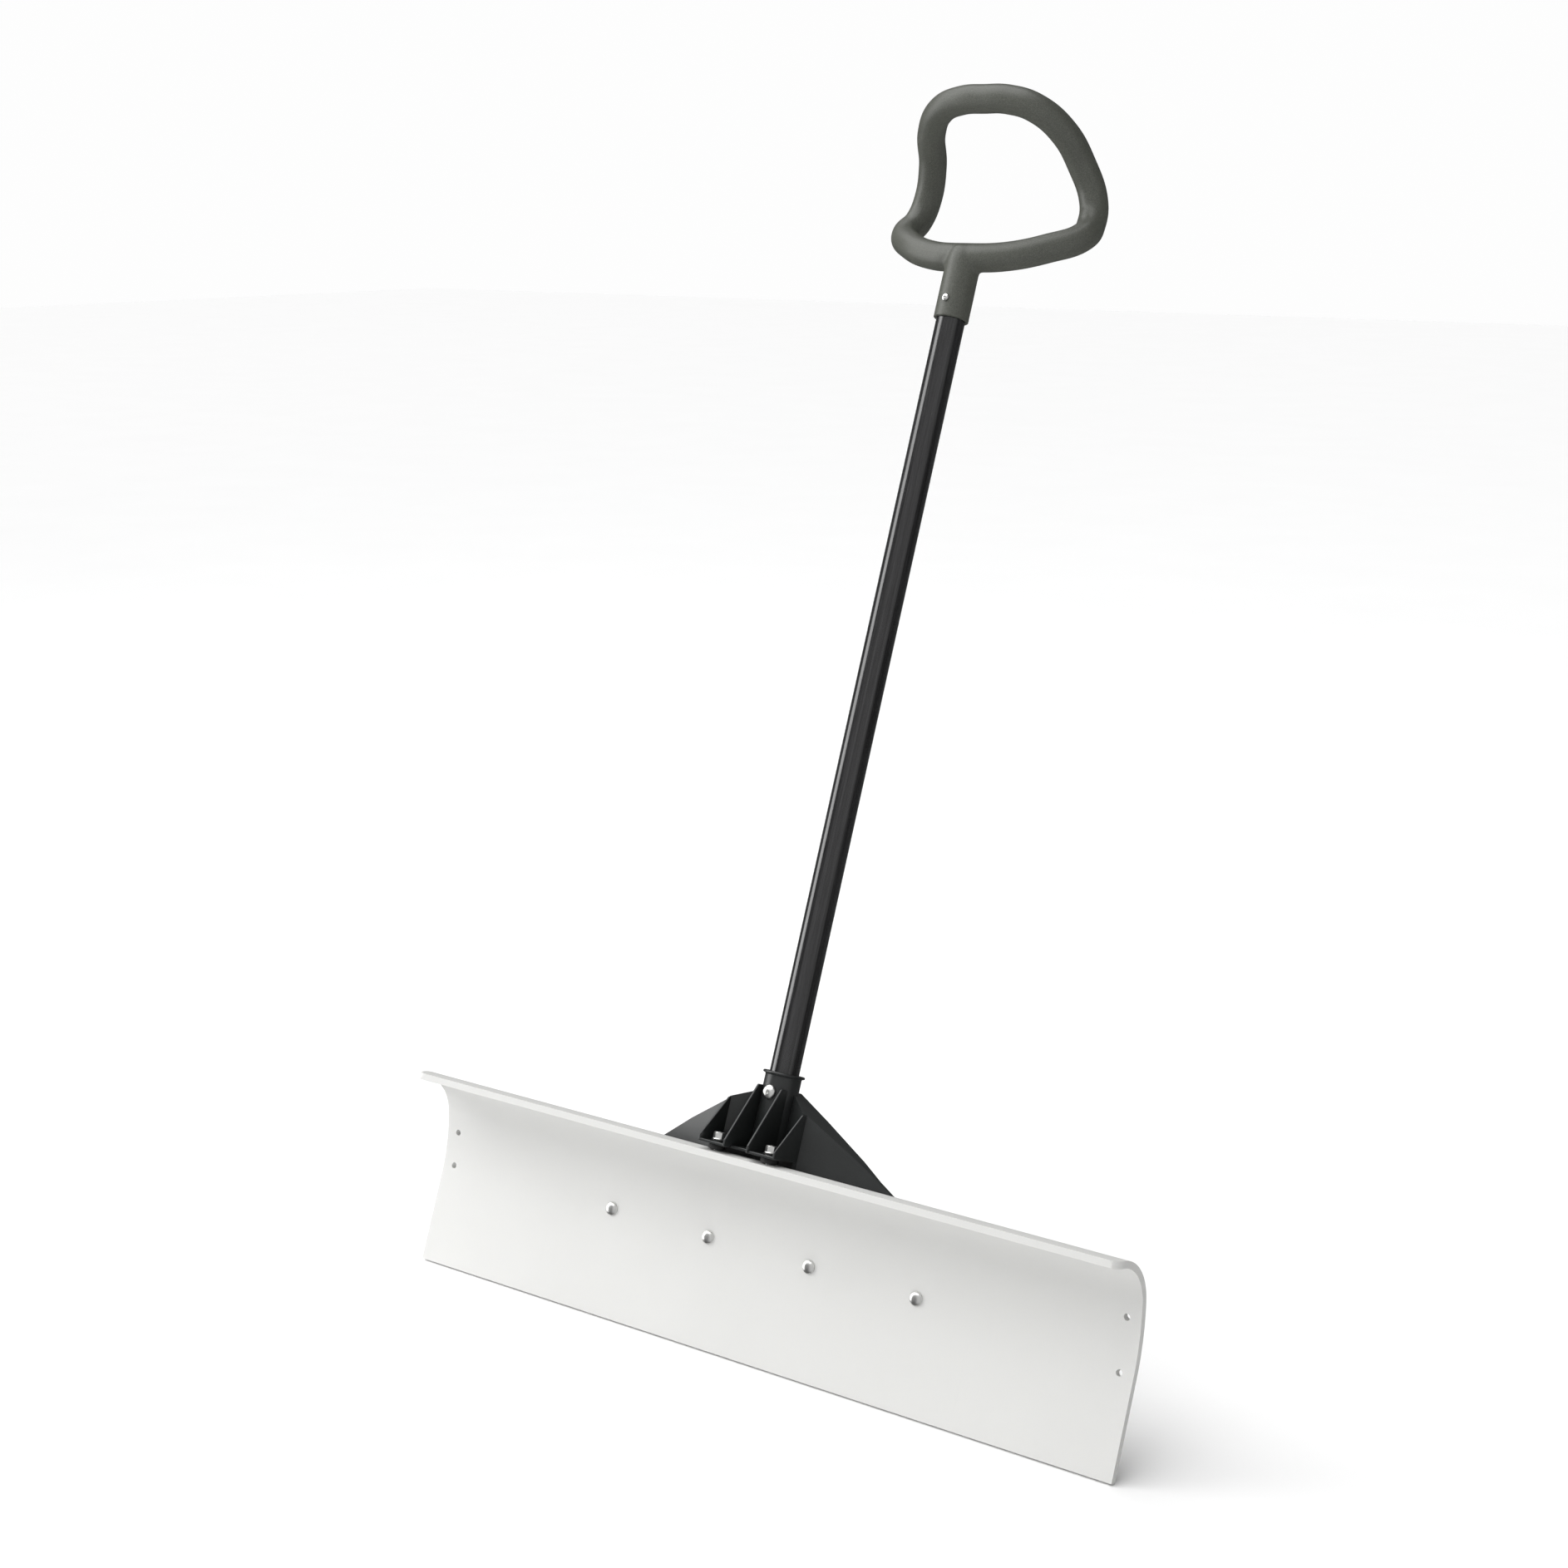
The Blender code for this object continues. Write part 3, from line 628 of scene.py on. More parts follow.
# ---- blade ---------------------------------------------------------------------------
def sheet_line(offset=0.0, belly_steps=20, curl_steps=56):
    """Points (y, z, angle) up the sheet's face, moved back from it by the offset."""
    sizes = bpy.context.scene.pusher_blade
    y, z, angle = -sizes.sheet / 2, 0.0, 0.0
    line = [(y, z, angle)]
    runs = (
        (1, sizes.flat - FLAT_END, 0.0),
        (1, FLAT_END, 0.0),
        (belly_steps, sizes.belly_radius * sizes.belly_turn, sizes.belly_turn),
        (curl_steps, sizes.curl_radius * sizes.curl_turn, sizes.curl_turn),
        (1, sizes.lip, 0.0),
    )
    for steps, length, turn in runs:
        for _ in range(steps):
            middle = angle + turn / steps / 2
            y -= math.sin(middle) * length / steps
            z += math.cos(middle) * length / steps
            angle += turn / steps
            line.append((y, z, angle))
    return [(a + math.cos(t) * offset, b + math.sin(t) * offset, t) for a, b, t in line]


def face_point(x, height):
    """The place and backward normal of the face at a height on its lower part."""
    line = sheet_line()
    for (y0, z0, t0), (y1, z1, t1) in zip(line, line[1:]):
        if z0 <= height <= z1:
            share = (height - z0) / (z1 - z0)
            angle = t0 + (t1 - t0) * share
            normal = Vector((0.0, math.cos(angle), math.sin(angle)))
            return Vector((x, y0 + (y1 - y0) * share, height)), normal
    raise ValueError("the height is above the blade")


def lip_underside(y):
    """Height of the lip's face that far ahead."""
    line = sheet_line()
    for (y0, z0, _), (y1, z1, _) in zip(line, line[1:]):
        if y1 <= y <= y0 and z0 > LIP_LOW:
            return z0 + (z1 - z0) * (y0 - y) / (y0 - y1)
    raise ValueError("the place is not under the lip")


def lip_crest():
    """Highest point of the lip."""
    return max(z for _, z, _ in sheet_line(bpy.context.scene.pusher_blade.sheet))


def square_bar(size, matrix, length):
    """A square bar along the matrix's Z, for the holes that take a square neck."""
    bar = block("square", (-size / 2, -size / 2, 0.0), (size / 2, size / 2, length))
    bar.matrix_world = matrix
    return bar


class PUSHER_OT_blade(bpy.types.Operator):
    """Bent sheet with a curled lip, rounded lip corners and its holes"""
    bl_idname = "pusher.blade"
    bl_label = "Blade"

    def execute(self, context):
        sizes = context.scene.pusher_blade
        hardware = context.scene.pusher_hardware
        half = sizes.width / 2
        face = [(y, z) for y, z, _ in sheet_line()]
        back = [(y, z) for y, z, _ in sheet_line(sizes.sheet)]
        blade = slab("blade", face + back[::-1], "X", -half, half)
        tip = min(y for y, _ in face + back)
        columns = [*BLADE_BOLTS_X, -hardware.lip_bolt_x, hardware.lip_bolt_x]
        columns += [side * (half - sizes.end_inset) for side in (-1, 1)]
        self.add_loops(blade, columns, LOOP_REACH)
        for side in (-1, 1):
            cut(blade, self.lip_corner(side, half, tip, sizes.lip_corner))
        for side, height in END_HOLES:
            place, normal = face_point(side * (half - sizes.end_inset), height)
            cut(blade, rod("hole", sizes.end_hole, place - normal * 0.01, place + normal * 0.02))
        for x in BLADE_BOLTS_X:
            place, normal = face_point(x, hardware.blade_bolt_z)
            cut(blade, square_bar(hardware.bolt_hole, aim(place - normal * 0.01, normal), 0.03))
        for side in (-1, 1):
            place = (side * hardware.lip_bolt_x, hardware.lip_bolt_y, LIP_LOW)
            cut(blade, square_bar(hardware.bolt_hole, Matrix.Translation(place), 0.035))
        soften(blade, sizes.edge_round, 40.0, 2)
        hand_over(blade, "blade", "blade_sheet")
        even_shading(blade)
        return {"FINISHED"}

    @staticmethod
    def add_loops(blade, columns, reach):
        """Edge loops on both sides of each hole, so that the sheet shades evenly past it."""
        pick(blade)
        mode("EDIT")
        for x in columns:
            for edge in (x - reach, x + reach):
                bpy.ops.mesh.select_all(action="SELECT")
                bpy.ops.mesh.bisect(plane_co=(edge, 0, 0), plane_no=(1, 0, 0))
        mode("OBJECT")

    @staticmethod
    def lip_corner(side, half, tip, radius):
        """The waste outside one rounded corner of the lip."""
        centre = (side * (half - radius), tip + radius)
        turns = [math.pi / 2 * step / 14 for step in range(15)]
        arc = [(centre[0] + side * radius * math.sin(t), centre[1] - radius * math.cos(t)) for t in turns]
        waste = 0.01
        outside = [(centre[0], tip - waste), (side * (half + waste), tip - waste)]
        outside.append((side * (half + waste), centre[1]))
        return slab("corner", arc + outside[::-1], "Z", LIP_LOW, LIP_HIGH)


# ---- bracket -------------------------------------------------------------------------
def wing_outline(inset=0.0):
    """Front view of the bracket's body."""
    sizes = bpy.context.scene.pusher_bracket
    right = [(x, z - inset * 1.15) for x, z in WING_LINE[:-1]]
    right.append((sizes.half - inset, WING_LINE[-1][1] - inset * 0.6))
    right.append((sizes.half - inset, sizes.base + inset))
    return [(-x, z) for x, z in right[::-1]] + right


def side_outline(offset, foot, top, rear):
    """Side view: up the back of the sheet, then the front limit, then down the rear line."""
    sheet = bpy.context.scene.pusher_blade.sheet
    limit = PANEL_PLAN[1][1] + offset
    skin = [(sheet / 2 + GAP + offset, foot)]
    for y, z, _ in sheet_line(sheet + GAP + offset)[1:]:
        if y < limit:
            share = (skin[-1][0] - limit) / (skin[-1][0] - y)
            skin.append((limit, skin[-1][1] + (z - skin[-1][1]) * share))
            break
        skin.append((y, z))
    return skin + [(limit, top)] + rear[::-1]


def plan_outline(offset):
    """Top view: slanted bay walls beside the socket, then wings that sweep back."""
    right = [(x, y + offset) for x, y in PANEL_PLAN]
    right.append((right[-1][0], 0.06))
    return [(-x, y) for x, y in right[::-1]] + right


class PUSHER_OT_bracket(bpy.types.Operator):
    """Ribbed moulding that holds the shaft on the blade"""
    bl_idname = "pusher.bracket"
    bl_label = "Bracket"

    def execute(self, context):
        self.sizes = context.scene.pusher_bracket
        self.handle = context.scene.pusher_handle
        self.hardware = context.scene.pusher_hardware
        bracket = self.body()
        cut(bracket, self.hollow())
        fuse(bracket, self.socket())
        for side in (-1, 1):
            fuse(bracket, *self.front_ribs(side), self.foot(side))
        fuse(bracket, self.web())
        self.drill(bracket)
        hand_over(bracket, "bracket", "bracket_moulding", smooth=28.0)
        even_shading(bracket)
        return {"FINISHED"}

    def body(self):
        sizes = self.sizes
        behind = self.handle.shaft_y + sizes.socket / 2
        rear = [(REAR_Y, sizes.base), (REAR_Y, REAR_BEND), (behind, REAR_END), (behind, BODY_TOP)]
        body = slab("bracket", wing_outline(), "Y", -0.06, 0.06)
        keep_common(body, slab("side", side_outline(0.0, sizes.base, BODY_TOP, rear), "X", -0.23, 0.23))
        keep_common(body, slab("plan", plan_outline(0.0), "Z", 0.05, 0.35))
        return soften(body, sizes.fold_round, 18.0, 3)

    def hollow(self):
        sizes = self.sizes
        wall = sizes.wall
        far = [(0.03, sizes.base - 0.01), (0.03, 0.31)]
        hollow = slab("hollow", wing_outline(wall), "Y", -0.07, 0.07)
        keep_common(hollow, slab("side", side_outline(wall, sizes.base - 0.005, 0.31, far), "X", -0.24, 0.24))
        keep_common(hollow, slab("plan", plan_outline(wall), "Z", 0.04, 0.36))
        for x in sorted({side * x for x in REAR_RIBS for side in (-1, 1)}):
            cut(hollow, block("rear_rib", (x - sizes.rib / 2, -0.08, 0.05), (x + sizes.rib / 2, 0.08, 0.35)))
        sheet = bpy.context.scene.pusher_blade.sheet
        for x in BLADE_BOLTS_X:
            place, normal = face_point(x, self.hardware.blade_bolt_z)
            start = place + normal * (sheet + GAP + 0.001)
            cut(hollow, rod("boss", sizes.boss, start, start + normal * (sizes.boss_height - 0.001)))
        return hollow

    def socket(self):
        """Round socket with a rolled collar at its mouth."""
        sizes = self.sizes
        radius, collar, top = sizes.socket / 2, sizes.collar / 2, sizes.socket_top
        low = sizes.socket_floor - sizes.wall
        roll = COLLAR_ROLL
        turns = [math.pi * step / 8 for step in range(9)]
        rim = [(collar - roll + roll * math.sin(t), top - roll - roll * math.cos(t)) for t in turns]
        neck = top - 2 * roll
        profile = [(0.0, low), (radius - 0.001, low), (radius, low + 0.001), (radius, neck - 0.0012)]
        profile += [(radius + 0.0006, neck - 0.0003), *rim, (0.0, top)]
        socket = lathe("socket", profile, 96)
        settle(socket, Matrix.Translation((0.0, self.handle.shaft_y, 0.0)))
        return socket

    def rib(self, x, back, top, front):
        """One upright rib, from the body to its sloping front edge."""
        foot = self.sizes.foot
        outline = ((back, top), (RIB_CREST, top), (front, foot + RIB_TOE), (front, foot), (back, foot))
        half = self.sizes.rib / 2
        return soften(slab("rib", outline, "X", x - half, x + half), self.sizes.rib_round)

    def front_ribs(self, side):
        bay, corner = PANEL_PLAN[0], PANEL_PLAN[1]
        yield self.rib(side * self.sizes.centre_rib, bay[1] + 0.001, CENTRE_RIB_TOP, CENTRE_RIB_FRONT)
        yield self.rib(side * self.sizes.outer_rib, corner[1] + 0.007, OUTER_RIB_TOP, OUTER_RIB_FRONT)

    def foot(self, side):
        """The flat plate between two ribs that a lip bolt goes through."""
        sizes = self.sizes
        near, far = sizes.centre_rib - sizes.rib / 2, sizes.outer_rib + sizes.rib / 2
        bay, corner = PANEL_PLAN[0], PANEL_PLAN[1]
        front = OUTER_RIB_FRONT
        plan = ((near, front), (far, front), (far, corner[1] + 0.006), (near, bay[1] + 0.001))
        foot = slab("foot", [(side * x, y) for x, y in plan], "Z", sizes.foot, sizes.foot + sizes.foot_wall)
        return soften(foot, sizes.rib_round)

    def web(self):
        """The plate that joins the two feet."""
        sizes = self.sizes
        half = sizes.centre_rib
        top = sizes.foot + sizes.foot_wall
        web = block("web", (-half, WEB_FRONT, sizes.foot), (half, PANEL_PLAN[0][1] + 0.001, top))
        return soften(web, sizes.rib_round)

    def drill(self, bracket):
        """The bore for the shaft and the clearance holes for every bolt."""
        sizes, hardware, handle = self.sizes, self.hardware, self.handle
        y = handle.shaft_y
        cut(bracket, rod("bore", handle.shaft + 2 * GAP, (0, y, sizes.socket_floor), (0, y, 0.32), 128))
        z = hardware.cross_z
        cut(bracket, rod("cross", hardware.bolt_hole, (0, -0.07, z), (0, 0.02, z)))
        sheet = bpy.context.scene.pusher_blade.sheet
        for x in BLADE_BOLTS_X:
            place, normal = face_point(x, hardware.blade_bolt_z)
            place = place + normal * sheet
            cut(bracket, rod("hole", hardware.bolt_hole, place - normal * 0.004, place + normal * 0.03))
        for side in (-1, 1):
            foot = (side * hardware.lip_bolt_x, hardware.lip_bolt_y)
            cut(bracket, rod("hole", hardware.bolt_hole, (*foot, 0.216), (*foot, 0.240)))


# ---- shaft and grip ------------------------------------------------------------------
class PUSHER_OT_shaft(bpy.types.Operator):
    """Round tube between the bracket and the grip"""
    bl_idname = "pusher.shaft"
    bl_label = "Shaft"

    def execute(self, context):
        sizes = context.scene.pusher_handle
        hardware = context.scene.pusher_hardware
        outer, inner = sizes.shaft / 2, sizes.shaft / 2 - sizes.shaft_wall
        low, high, chamfer = sizes.shaft_low, sizes.shaft_high, 0.0005
        profile = (
            (inner, low), (outer - chamfer, low), (outer, low + chamfer), (outer, high - chamfer),
            (outer - chamfer, high), (inner, high),
        )
        shaft = lathe("shaft", profile, 160, closed=True)
        settle(shaft, Matrix.Translation((0.0, sizes.shaft_y, 0.0)))
        z = hardware.cross_z
        cut(shaft, rod("cross", hardware.bolt_hole, (0, -0.06, z), (0, 0.01, z)))
        z = hardware.screw_z
        cut(shaft, rod("cross", hardware.screw + 2 * GAP, (0, -0.06, z), (0, sizes.shaft_y, z)))
        hand_over(shaft, "shaft", "shaft_tube")
        return {"FINISHED"}


class PUSHER_OT_grip(bpy.types.Operator):
    """Closed loop for two hands, blended into a stem that takes the shaft's top"""
    bl_idname = "pusher.grip"
    bl_label = "Grip"

    def execute(self, context):
        sizes = context.scene.pusher_handle
        hardware = context.scene.pusher_hardware
        grip = self.loop(sizes)
        fuse(grip, self.stem(sizes))
        self.blend(grip, sizes)
        cut(grip, self.trim(sizes))
        y = sizes.shaft_y
        low, high = sizes.stem_low - 0.01, sizes.bore_high
        cut(grip, rod("bore", sizes.shaft + 2 * GAP, (0, y, low), (0, y, high), 128))
        z = hardware.screw_z
        cut(grip, rod("cross", hardware.screw + 2 * GAP, (0, -0.06, z), (0, y, z)))
        hand_over(grip, "grip", "grip_moulding", smooth=40.0)
        return {"FINISHED"}

    @staticmethod
    def loop(sizes):
        """A round tube on a closed curve through the loop's own points."""
        route = [GRIP_BAR, *GRIP_SIDE, GRIP_TOP, *[(-x, y, z) for x, y, z in GRIP_SIDE[::-1]]]
        pick_none()
        bpy.ops.curve.primitive_bezier_circle_add(radius=0.1)
        line = bpy.context.object
        mode("EDIT")
        bpy.ops.curve.select_all(action="SELECT")
        bpy.ops.curve.subdivide(number_cuts=len(route) // 4 - 1)
        mode("OBJECT")
        curve = line.data
        curve.dimensions = "3D"
        for point, place in zip(curve.splines[0].bezier_points, route):
            point.handle_left_type = "AUTO"
            point.handle_right_type = "AUTO"
            point.co = place
        curve.resolution_u = 14
        curve.bevel_depth = sizes.tube
        curve.bevel_resolution = 12
        pick(line)
        bpy.ops.object.convert(target="MESH")
        mode("EDIT")
        face_outwards()
        line.name = "grip"
        return line

    @staticmethod
    def stem(sizes):
        """The stem, a little long at its foot, rounded where it enters the bar."""
        radius = sizes.stem / 2
        low, high = sizes.stem_low - 0.006, GRIP_BAR[2]
        profile = [(0.0, low), (radius, low), (radius, high - 0.003), (radius - 0.0010, high + 0.003)]
        profile += [(radius - 0.0035, high + 0.0085), (radius - 0.0085, high + 0.0122), (0.0, high + 0.0140)]
        stem = lathe("stem", profile, 96)
        settle(stem, Matrix.Translation((0.0, sizes.shaft_y, 0.0)))
        return stem

    @staticmethod
    def blend(grip, sizes):
        """Turns loop and stem into one even skin and smooths the crease between them."""
        pick(grip)
        grip.data.remesh_voxel_size = sizes.voxel
        bpy.ops.object.voxel_remesh()
        centre = Vector((0.0, sizes.shaft_y, GRIP_BAR[2] - CREASE_DROP))
        group = grip.vertex_groups.new(name="crease")
        for vertex in grip.data.vertices:
            away = (vertex.co - centre).length
            weight = min(1.0, max(0.0, (CREASE_REACH + CREASE_FADE - away) / CREASE_FADE))
            if weight > 0.0:
                group.add([vertex.index], weight, "REPLACE")
        for group_name, passes in (("crease", sizes.blend), ("", 4)):
            smooth = grip.modifiers.new("smooth", "SMOOTH")
            smooth.factor = 0.5
            smooth.iterations = passes
            smooth.vertex_group = group_name
            bpy.ops.object.modifier_apply(modifier=smooth.name)
        grip.vertex_groups.clear()

    @staticmethod
    def trim(sizes):
        """What is cut off below the stem's rounded foot."""
        radius, low, rounding = sizes.stem / 2, sizes.stem_low, 0.0012
        turns = [math.pi / 2 * step / 6 for step in range(7)]
        inner, reach = radius - rounding, rounding + 0.0001
        arc = [(inner + reach * math.sin(t), low + rounding - rounding * math.cos(t)) for t in turns]
        profile = [(0.0, low - 0.012), (0.04, low - 0.012), (0.04, low + rounding), *arc[::-1], (0.0, low)]
        waste = lathe("waste", profile, 96)
        settle(waste, Matrix.Translation((0.0, sizes.shaft_y, 0.0)))
        return waste


# ---- fasteners -----------------------------------------------------------------------
DARK_WASHER = 0.015             # outer width of the washers on the feet
SPACER_ROUND = 0.0006
CROSS_RISE, CROSS_LENGTH, CROSS_PLAIN = 0.0042, 0.0515, 0.036   # head, shank and its plain part
RECESS, RECESS_DEPTH = 0.0048, 0.0024
SCREW_RISE, SCREW_LENGTH, SCREW_PLAIN, SCREW_PITCH = 0.0022, 0.011, 0.001, 0.0014
SLOT_ARM, SLOT_WIDTH, SLOT_DEPTH = 0.0021, 0.00045, 0.0012      # half sizes of the cross recess


def dome(diameter, rise, steps=12):
    """Profile of a low domed head, from its crown to its underside."""
    radius = diameter / 2
    points = [(0.0, rise)]
    for step in range(1, steps + 1):
        turn = math.pi / 2 * step / steps
        points.append((radius * math.sin(turn), rise * math.cos(turn) + 0.0005 * math.sin(turn)))
    return points + [(radius - 0.0001, 0.0001), (radius - 0.0004, 0.0)]


def threaded(radius, start, end, pitch):
    """Profile of a threaded shank that runs down to its domed end."""
    depth, tip = pitch * 0.26, 0.0012
    points = [(radius, start)]
    height = start
    while height - pitch > end + tip:
        points += [(radius - depth, height - pitch * 0.42), (radius - depth, height - pitch * 0.58)]
        points += [(radius, height - pitch * 0.94), (radius, height - pitch)]
        height -= pitch
    turns = [math.pi / 2 * step / 5 for step in range(6)]
    dome_end = [((radius - 0.0003) * math.cos(t), end + tip * (1 - math.sin(t))) for t in turns]
    return points + dome_end[:-1] + [(0.0, end)]


def carriage_bolt(sizes, rise, length):
    """Domed head above zero, square neck and threaded shank below."""
    radius = sizes.bolt / 2
    profile = dome(sizes.head, rise) + [(radius, 0.0)]
    profile += threaded(radius, -sizes.neck - 0.003, -length, sizes.pitch)
    bolt = lathe("carriage_bolt", profile, 56)
    neck = block("neck", (-radius, -radius, -sizes.neck), (radius, radius, 0.0005))
    fuse(bolt, neck)
    return bolt


def hex_nut(sizes):
    """Tall lock nut: a slim flange, a hexagon with its upper rim turned down, a clear hole.

    The lathed parts have 70 steps, so that no seam of theirs meets a corner of the hexagon.
    """
    corner, steps = sizes.nut / math.sqrt(3.0), 70
    height, rim, flange, drop = sizes.nut_height, sizes.nut / 2, 0.0010, 0.0009
    pick_none()
    bpy.ops.mesh.primitive_cylinder_add(
        vertices=6, radius=corner, depth=height, location=(0.0, 0.0, height / 2 + 0.0002))
    bpy.ops.object.transform_apply(location=True, rotation=True, scale=True)
    nut = bpy.context.object
    barrel = (
        (0.0, 0.0), (corner + 0.0001, 0.0), (corner + 0.0001, height - drop), (rim - 0.0001, height),
        (0.0, height),
    )
    keep_common(nut, lathe("barrel", barrel, steps))
    skirt = (
        (0.0, 0.0), (corner + 0.0003, 0.0), (corner + 0.0006, 0.0003), (corner + 0.0004, flange),
        (rim - 0.0004, flange + 0.0008), (0.0, flange + 0.0008),
    )
    fuse(nut, lathe("flange", skirt, steps))
    hole, mouth = sizes.bolt_hole / 2, 0.0005
    bore = (
        (0.0, -0.001), (hole + mouth + 0.001, -0.001), (hole, mouth), (hole, height - mouth),
        (hole + mouth + 0.001, height + 0.001), (0.0, height + 0.001),
    )
    cut(nut, lathe("thread", bore, 48))
    return soften(nut, 0.00012, 30.0, 2)


def ring(name, diameter, thickness, hole, rounding=0.00025):
    """A flat ring with softened rims."""
    outer, inner = diameter / 2, hole / 2
    profile = (
        (inner, rounding), (inner + rounding, 0.0), (outer - rounding, 0.0), (outer, rounding),
        (outer, thickness - rounding), (outer - rounding, thickness), (inner + rounding, thickness),
        (inner, thickness - rounding),
    )
    return lathe(name, profile, 72, closed=True)


def place_copies(pattern, slot, places):
    """One copy of the pattern for each node, then the pattern goes."""
    for node, matrix in places.items():
        hand_over(copy_of(pattern), node, slot, matrix)
    bpy.data.objects.remove(pattern, do_unlink=True)


def lip_places(height, up=1.0):
    """Along each lip bolt, at a height."""
    sizes = bpy.context.scene.pusher_hardware
    sides = {"left": -sizes.lip_bolt_x, "right": sizes.lip_bolt_x}
    return {name: aim((x, sizes.lip_bolt_y, height), (0.0, 0.0, up)) for name, x in sides.items()}


def blade_places(offset, facing=1.0):
    """Along each blade bolt, that far behind the face."""
    height = bpy.context.scene.pusher_hardware.blade_bolt_z
    places = {}
    for index, x in enumerate(BLADE_BOLTS_X, 1):
        place, normal = face_point(x, height)
        places[index] = aim(place + normal * offset, normal * facing)
    return places


def seat_height():
    """From the blade's face to the pads that the washers sit on."""
    sheet = bpy.context.scene.pusher_blade.sheet
    return sheet + GAP + bpy.context.scene.pusher_bracket.boss_height + GAP


def foot_top():
    """Height that the washers on the feet sit at."""
    sizes = bpy.context.scene.pusher_bracket
    return sizes.foot + sizes.foot_wall


class PUSHER_OT_carriage_bolts(bpy.types.Operator):
    """Carriage bolts through the blade and through the lip"""
    bl_idname = "pusher.carriage_bolts"
    bl_label = "Carriage bolts"

    def execute(self, context):
        sizes = context.scene.pusher_hardware
        edges = (sizes.lip_bolt_y - sizes.head / 2, sizes.lip_bolt_y + sizes.head / 2)
        under = min(lip_underside(y) for y in edges) - GAP
        places = {f"blade_bolt_{index}": place for index, place in blade_places(-GAP, -1.0).items()}
        place_copies(carriage_bolt(sizes, sizes.rise, sizes.length), "zinc_fasteners", places)
        places = {f"lip_bolt_{side}": place for side, place in lip_places(under, -1.0).items()}
        place_copies(carriage_bolt(sizes, sizes.lip_rise, sizes.lip_length), "zinc_fasteners", places)
        return {"FINISHED"}


class PUSHER_OT_nuts(bpy.types.Operator):
    """Lock nuts on the blade bolts, the lip bolts and the socket bolt"""
    bl_idname = "pusher.nuts"
    bl_label = "Nuts"

    def execute(self, context):
        sizes = context.scene.pusher_hardware
        step = sizes.washer_wall + GAP
        places = {f"blade_nut_{index}": place for index, place in blade_places(seat_height() + step).items()}
        places |= {f"lip_nut_{side}": place for side, place in lip_places(foot_top() + GAP + step).items()}
        places["socket_nut"] = socket_place(step)
        place_copies(hex_nut(sizes), "zinc_fasteners", places)
        return {"FINISHED"}


class PUSHER_OT_washers(bpy.types.Operator):
    """Zinc washers behind the blade and the socket, black ones on the feet"""
    bl_idname = "pusher.washers"
    bl_label = "Washers"

    def execute(self, context):
        sizes = context.scene.pusher_hardware
        places = {f"blade_washer_{index}": place for index, place in blade_places(seat_height()).items()}
        places["socket_washer"] = socket_place(0.0)
        plain = ring("washer", sizes.washer, sizes.washer_wall, sizes.bolt_hole)
        place_copies(plain, "zinc_fasteners", places)
        dark = ring("dark_washer", DARK_WASHER, sizes.washer_wall, sizes.bolt_hole)
        dark_places = {f"lip_washer_{side}": place for side, place in lip_places(foot_top() + GAP).items()}
        place_copies(dark, "black_spacers", dark_places)
        return {"FINISHED"}


class PUSHER_OT_spacers(bpy.types.Operator):
    """Black spacers between the lip and the bracket's feet"""
    bl_idname = "pusher.spacers"
    bl_label = "Spacers"

    def execute(self, context):
        sizes = context.scene.pusher_hardware
        low = lip_crest() + GAP
        height = context.scene.pusher_bracket.foot - GAP - low
        spacer = ring("spacer", sizes.spacer, height, sizes.bolt_hole, SPACER_ROUND)
        places = {f"lip_spacer_{side}": place for side, place in lip_places(low).items()}
        place_copies(spacer, "black_spacers", places)
        return {"FINISHED"}


def socket_place(offset):
    """Behind the socket, that far from its back."""
    handle = bpy.context.scene.pusher_handle
    back = handle.shaft_y + bpy.context.scene.pusher_bracket.socket / 2 + GAP
    return aim((0.0, back + offset, bpy.context.scene.pusher_hardware.cross_z), (0.0, 1.0, 0.0))


class PUSHER_OT_socket_bolt(bpy.types.Operator):
    """Round-headed bolt with a hexagon recess, through the socket and the shaft"""
    bl_idname = "pusher.socket_bolt"
    bl_label = "Socket bolt"

    def execute(self, context):
        sizes = context.scene.pusher_hardware
        radius, rise = sizes.bolt / 2, CROSS_RISE
        profile = dome(sizes.cross_head, rise) + [(radius, 0.0)]
        profile += threaded(radius, -CROSS_PLAIN, -CROSS_LENGTH, sizes.pitch)
        bolt = lathe("socket_bolt", profile, 72)
        cut(bolt, rod("recess", RECESS, (0, 0, rise - RECESS_DEPTH), (0, 0, rise + 0.01), 6))
        front = context.scene.pusher_handle.shaft_y - context.scene.pusher_bracket.socket / 2 - GAP
        hand_over(bolt, "socket_bolt", "zinc_fasteners", aim((0.0, front, sizes.cross_z), (0.0, -1.0, 0.0)))
        return {"FINISHED"}


class PUSHER_OT_grip_screw(bpy.types.Operator):
    """Pan-head screw with a cross recess in the grip's stem"""
    bl_idname = "pusher.grip_screw"
    bl_label = "Grip screw"

    def execute(self, context):
        sizes = context.scene.pusher_hardware
        radius, rise = sizes.screw / 2, SCREW_RISE
        profile = dome(sizes.screw_head, rise) + [(radius, 0.0)]
        profile += threaded(radius, -SCREW_PLAIN, -SCREW_LENGTH, SCREW_PITCH)
        screw = lathe("grip_screw", profile, 56)
        arm, width, low = SLOT_ARM, SLOT_WIDTH, rise - SLOT_DEPTH
        for reach in ((arm, width), (width, arm)):
            cut(screw, block("slot", (-reach[0], -reach[1], low), (reach[0], reach[1], rise + 0.002)))
        front = context.scene.pusher_handle.shaft_y - context.scene.pusher_handle.stem / 2 - GAP
        hand_over(screw, "grip_screw", "zinc_fasteners", aim((0.0, front, sizes.screw_z), (0.0, -1.0, 0.0)))
        return {"FINISHED"}


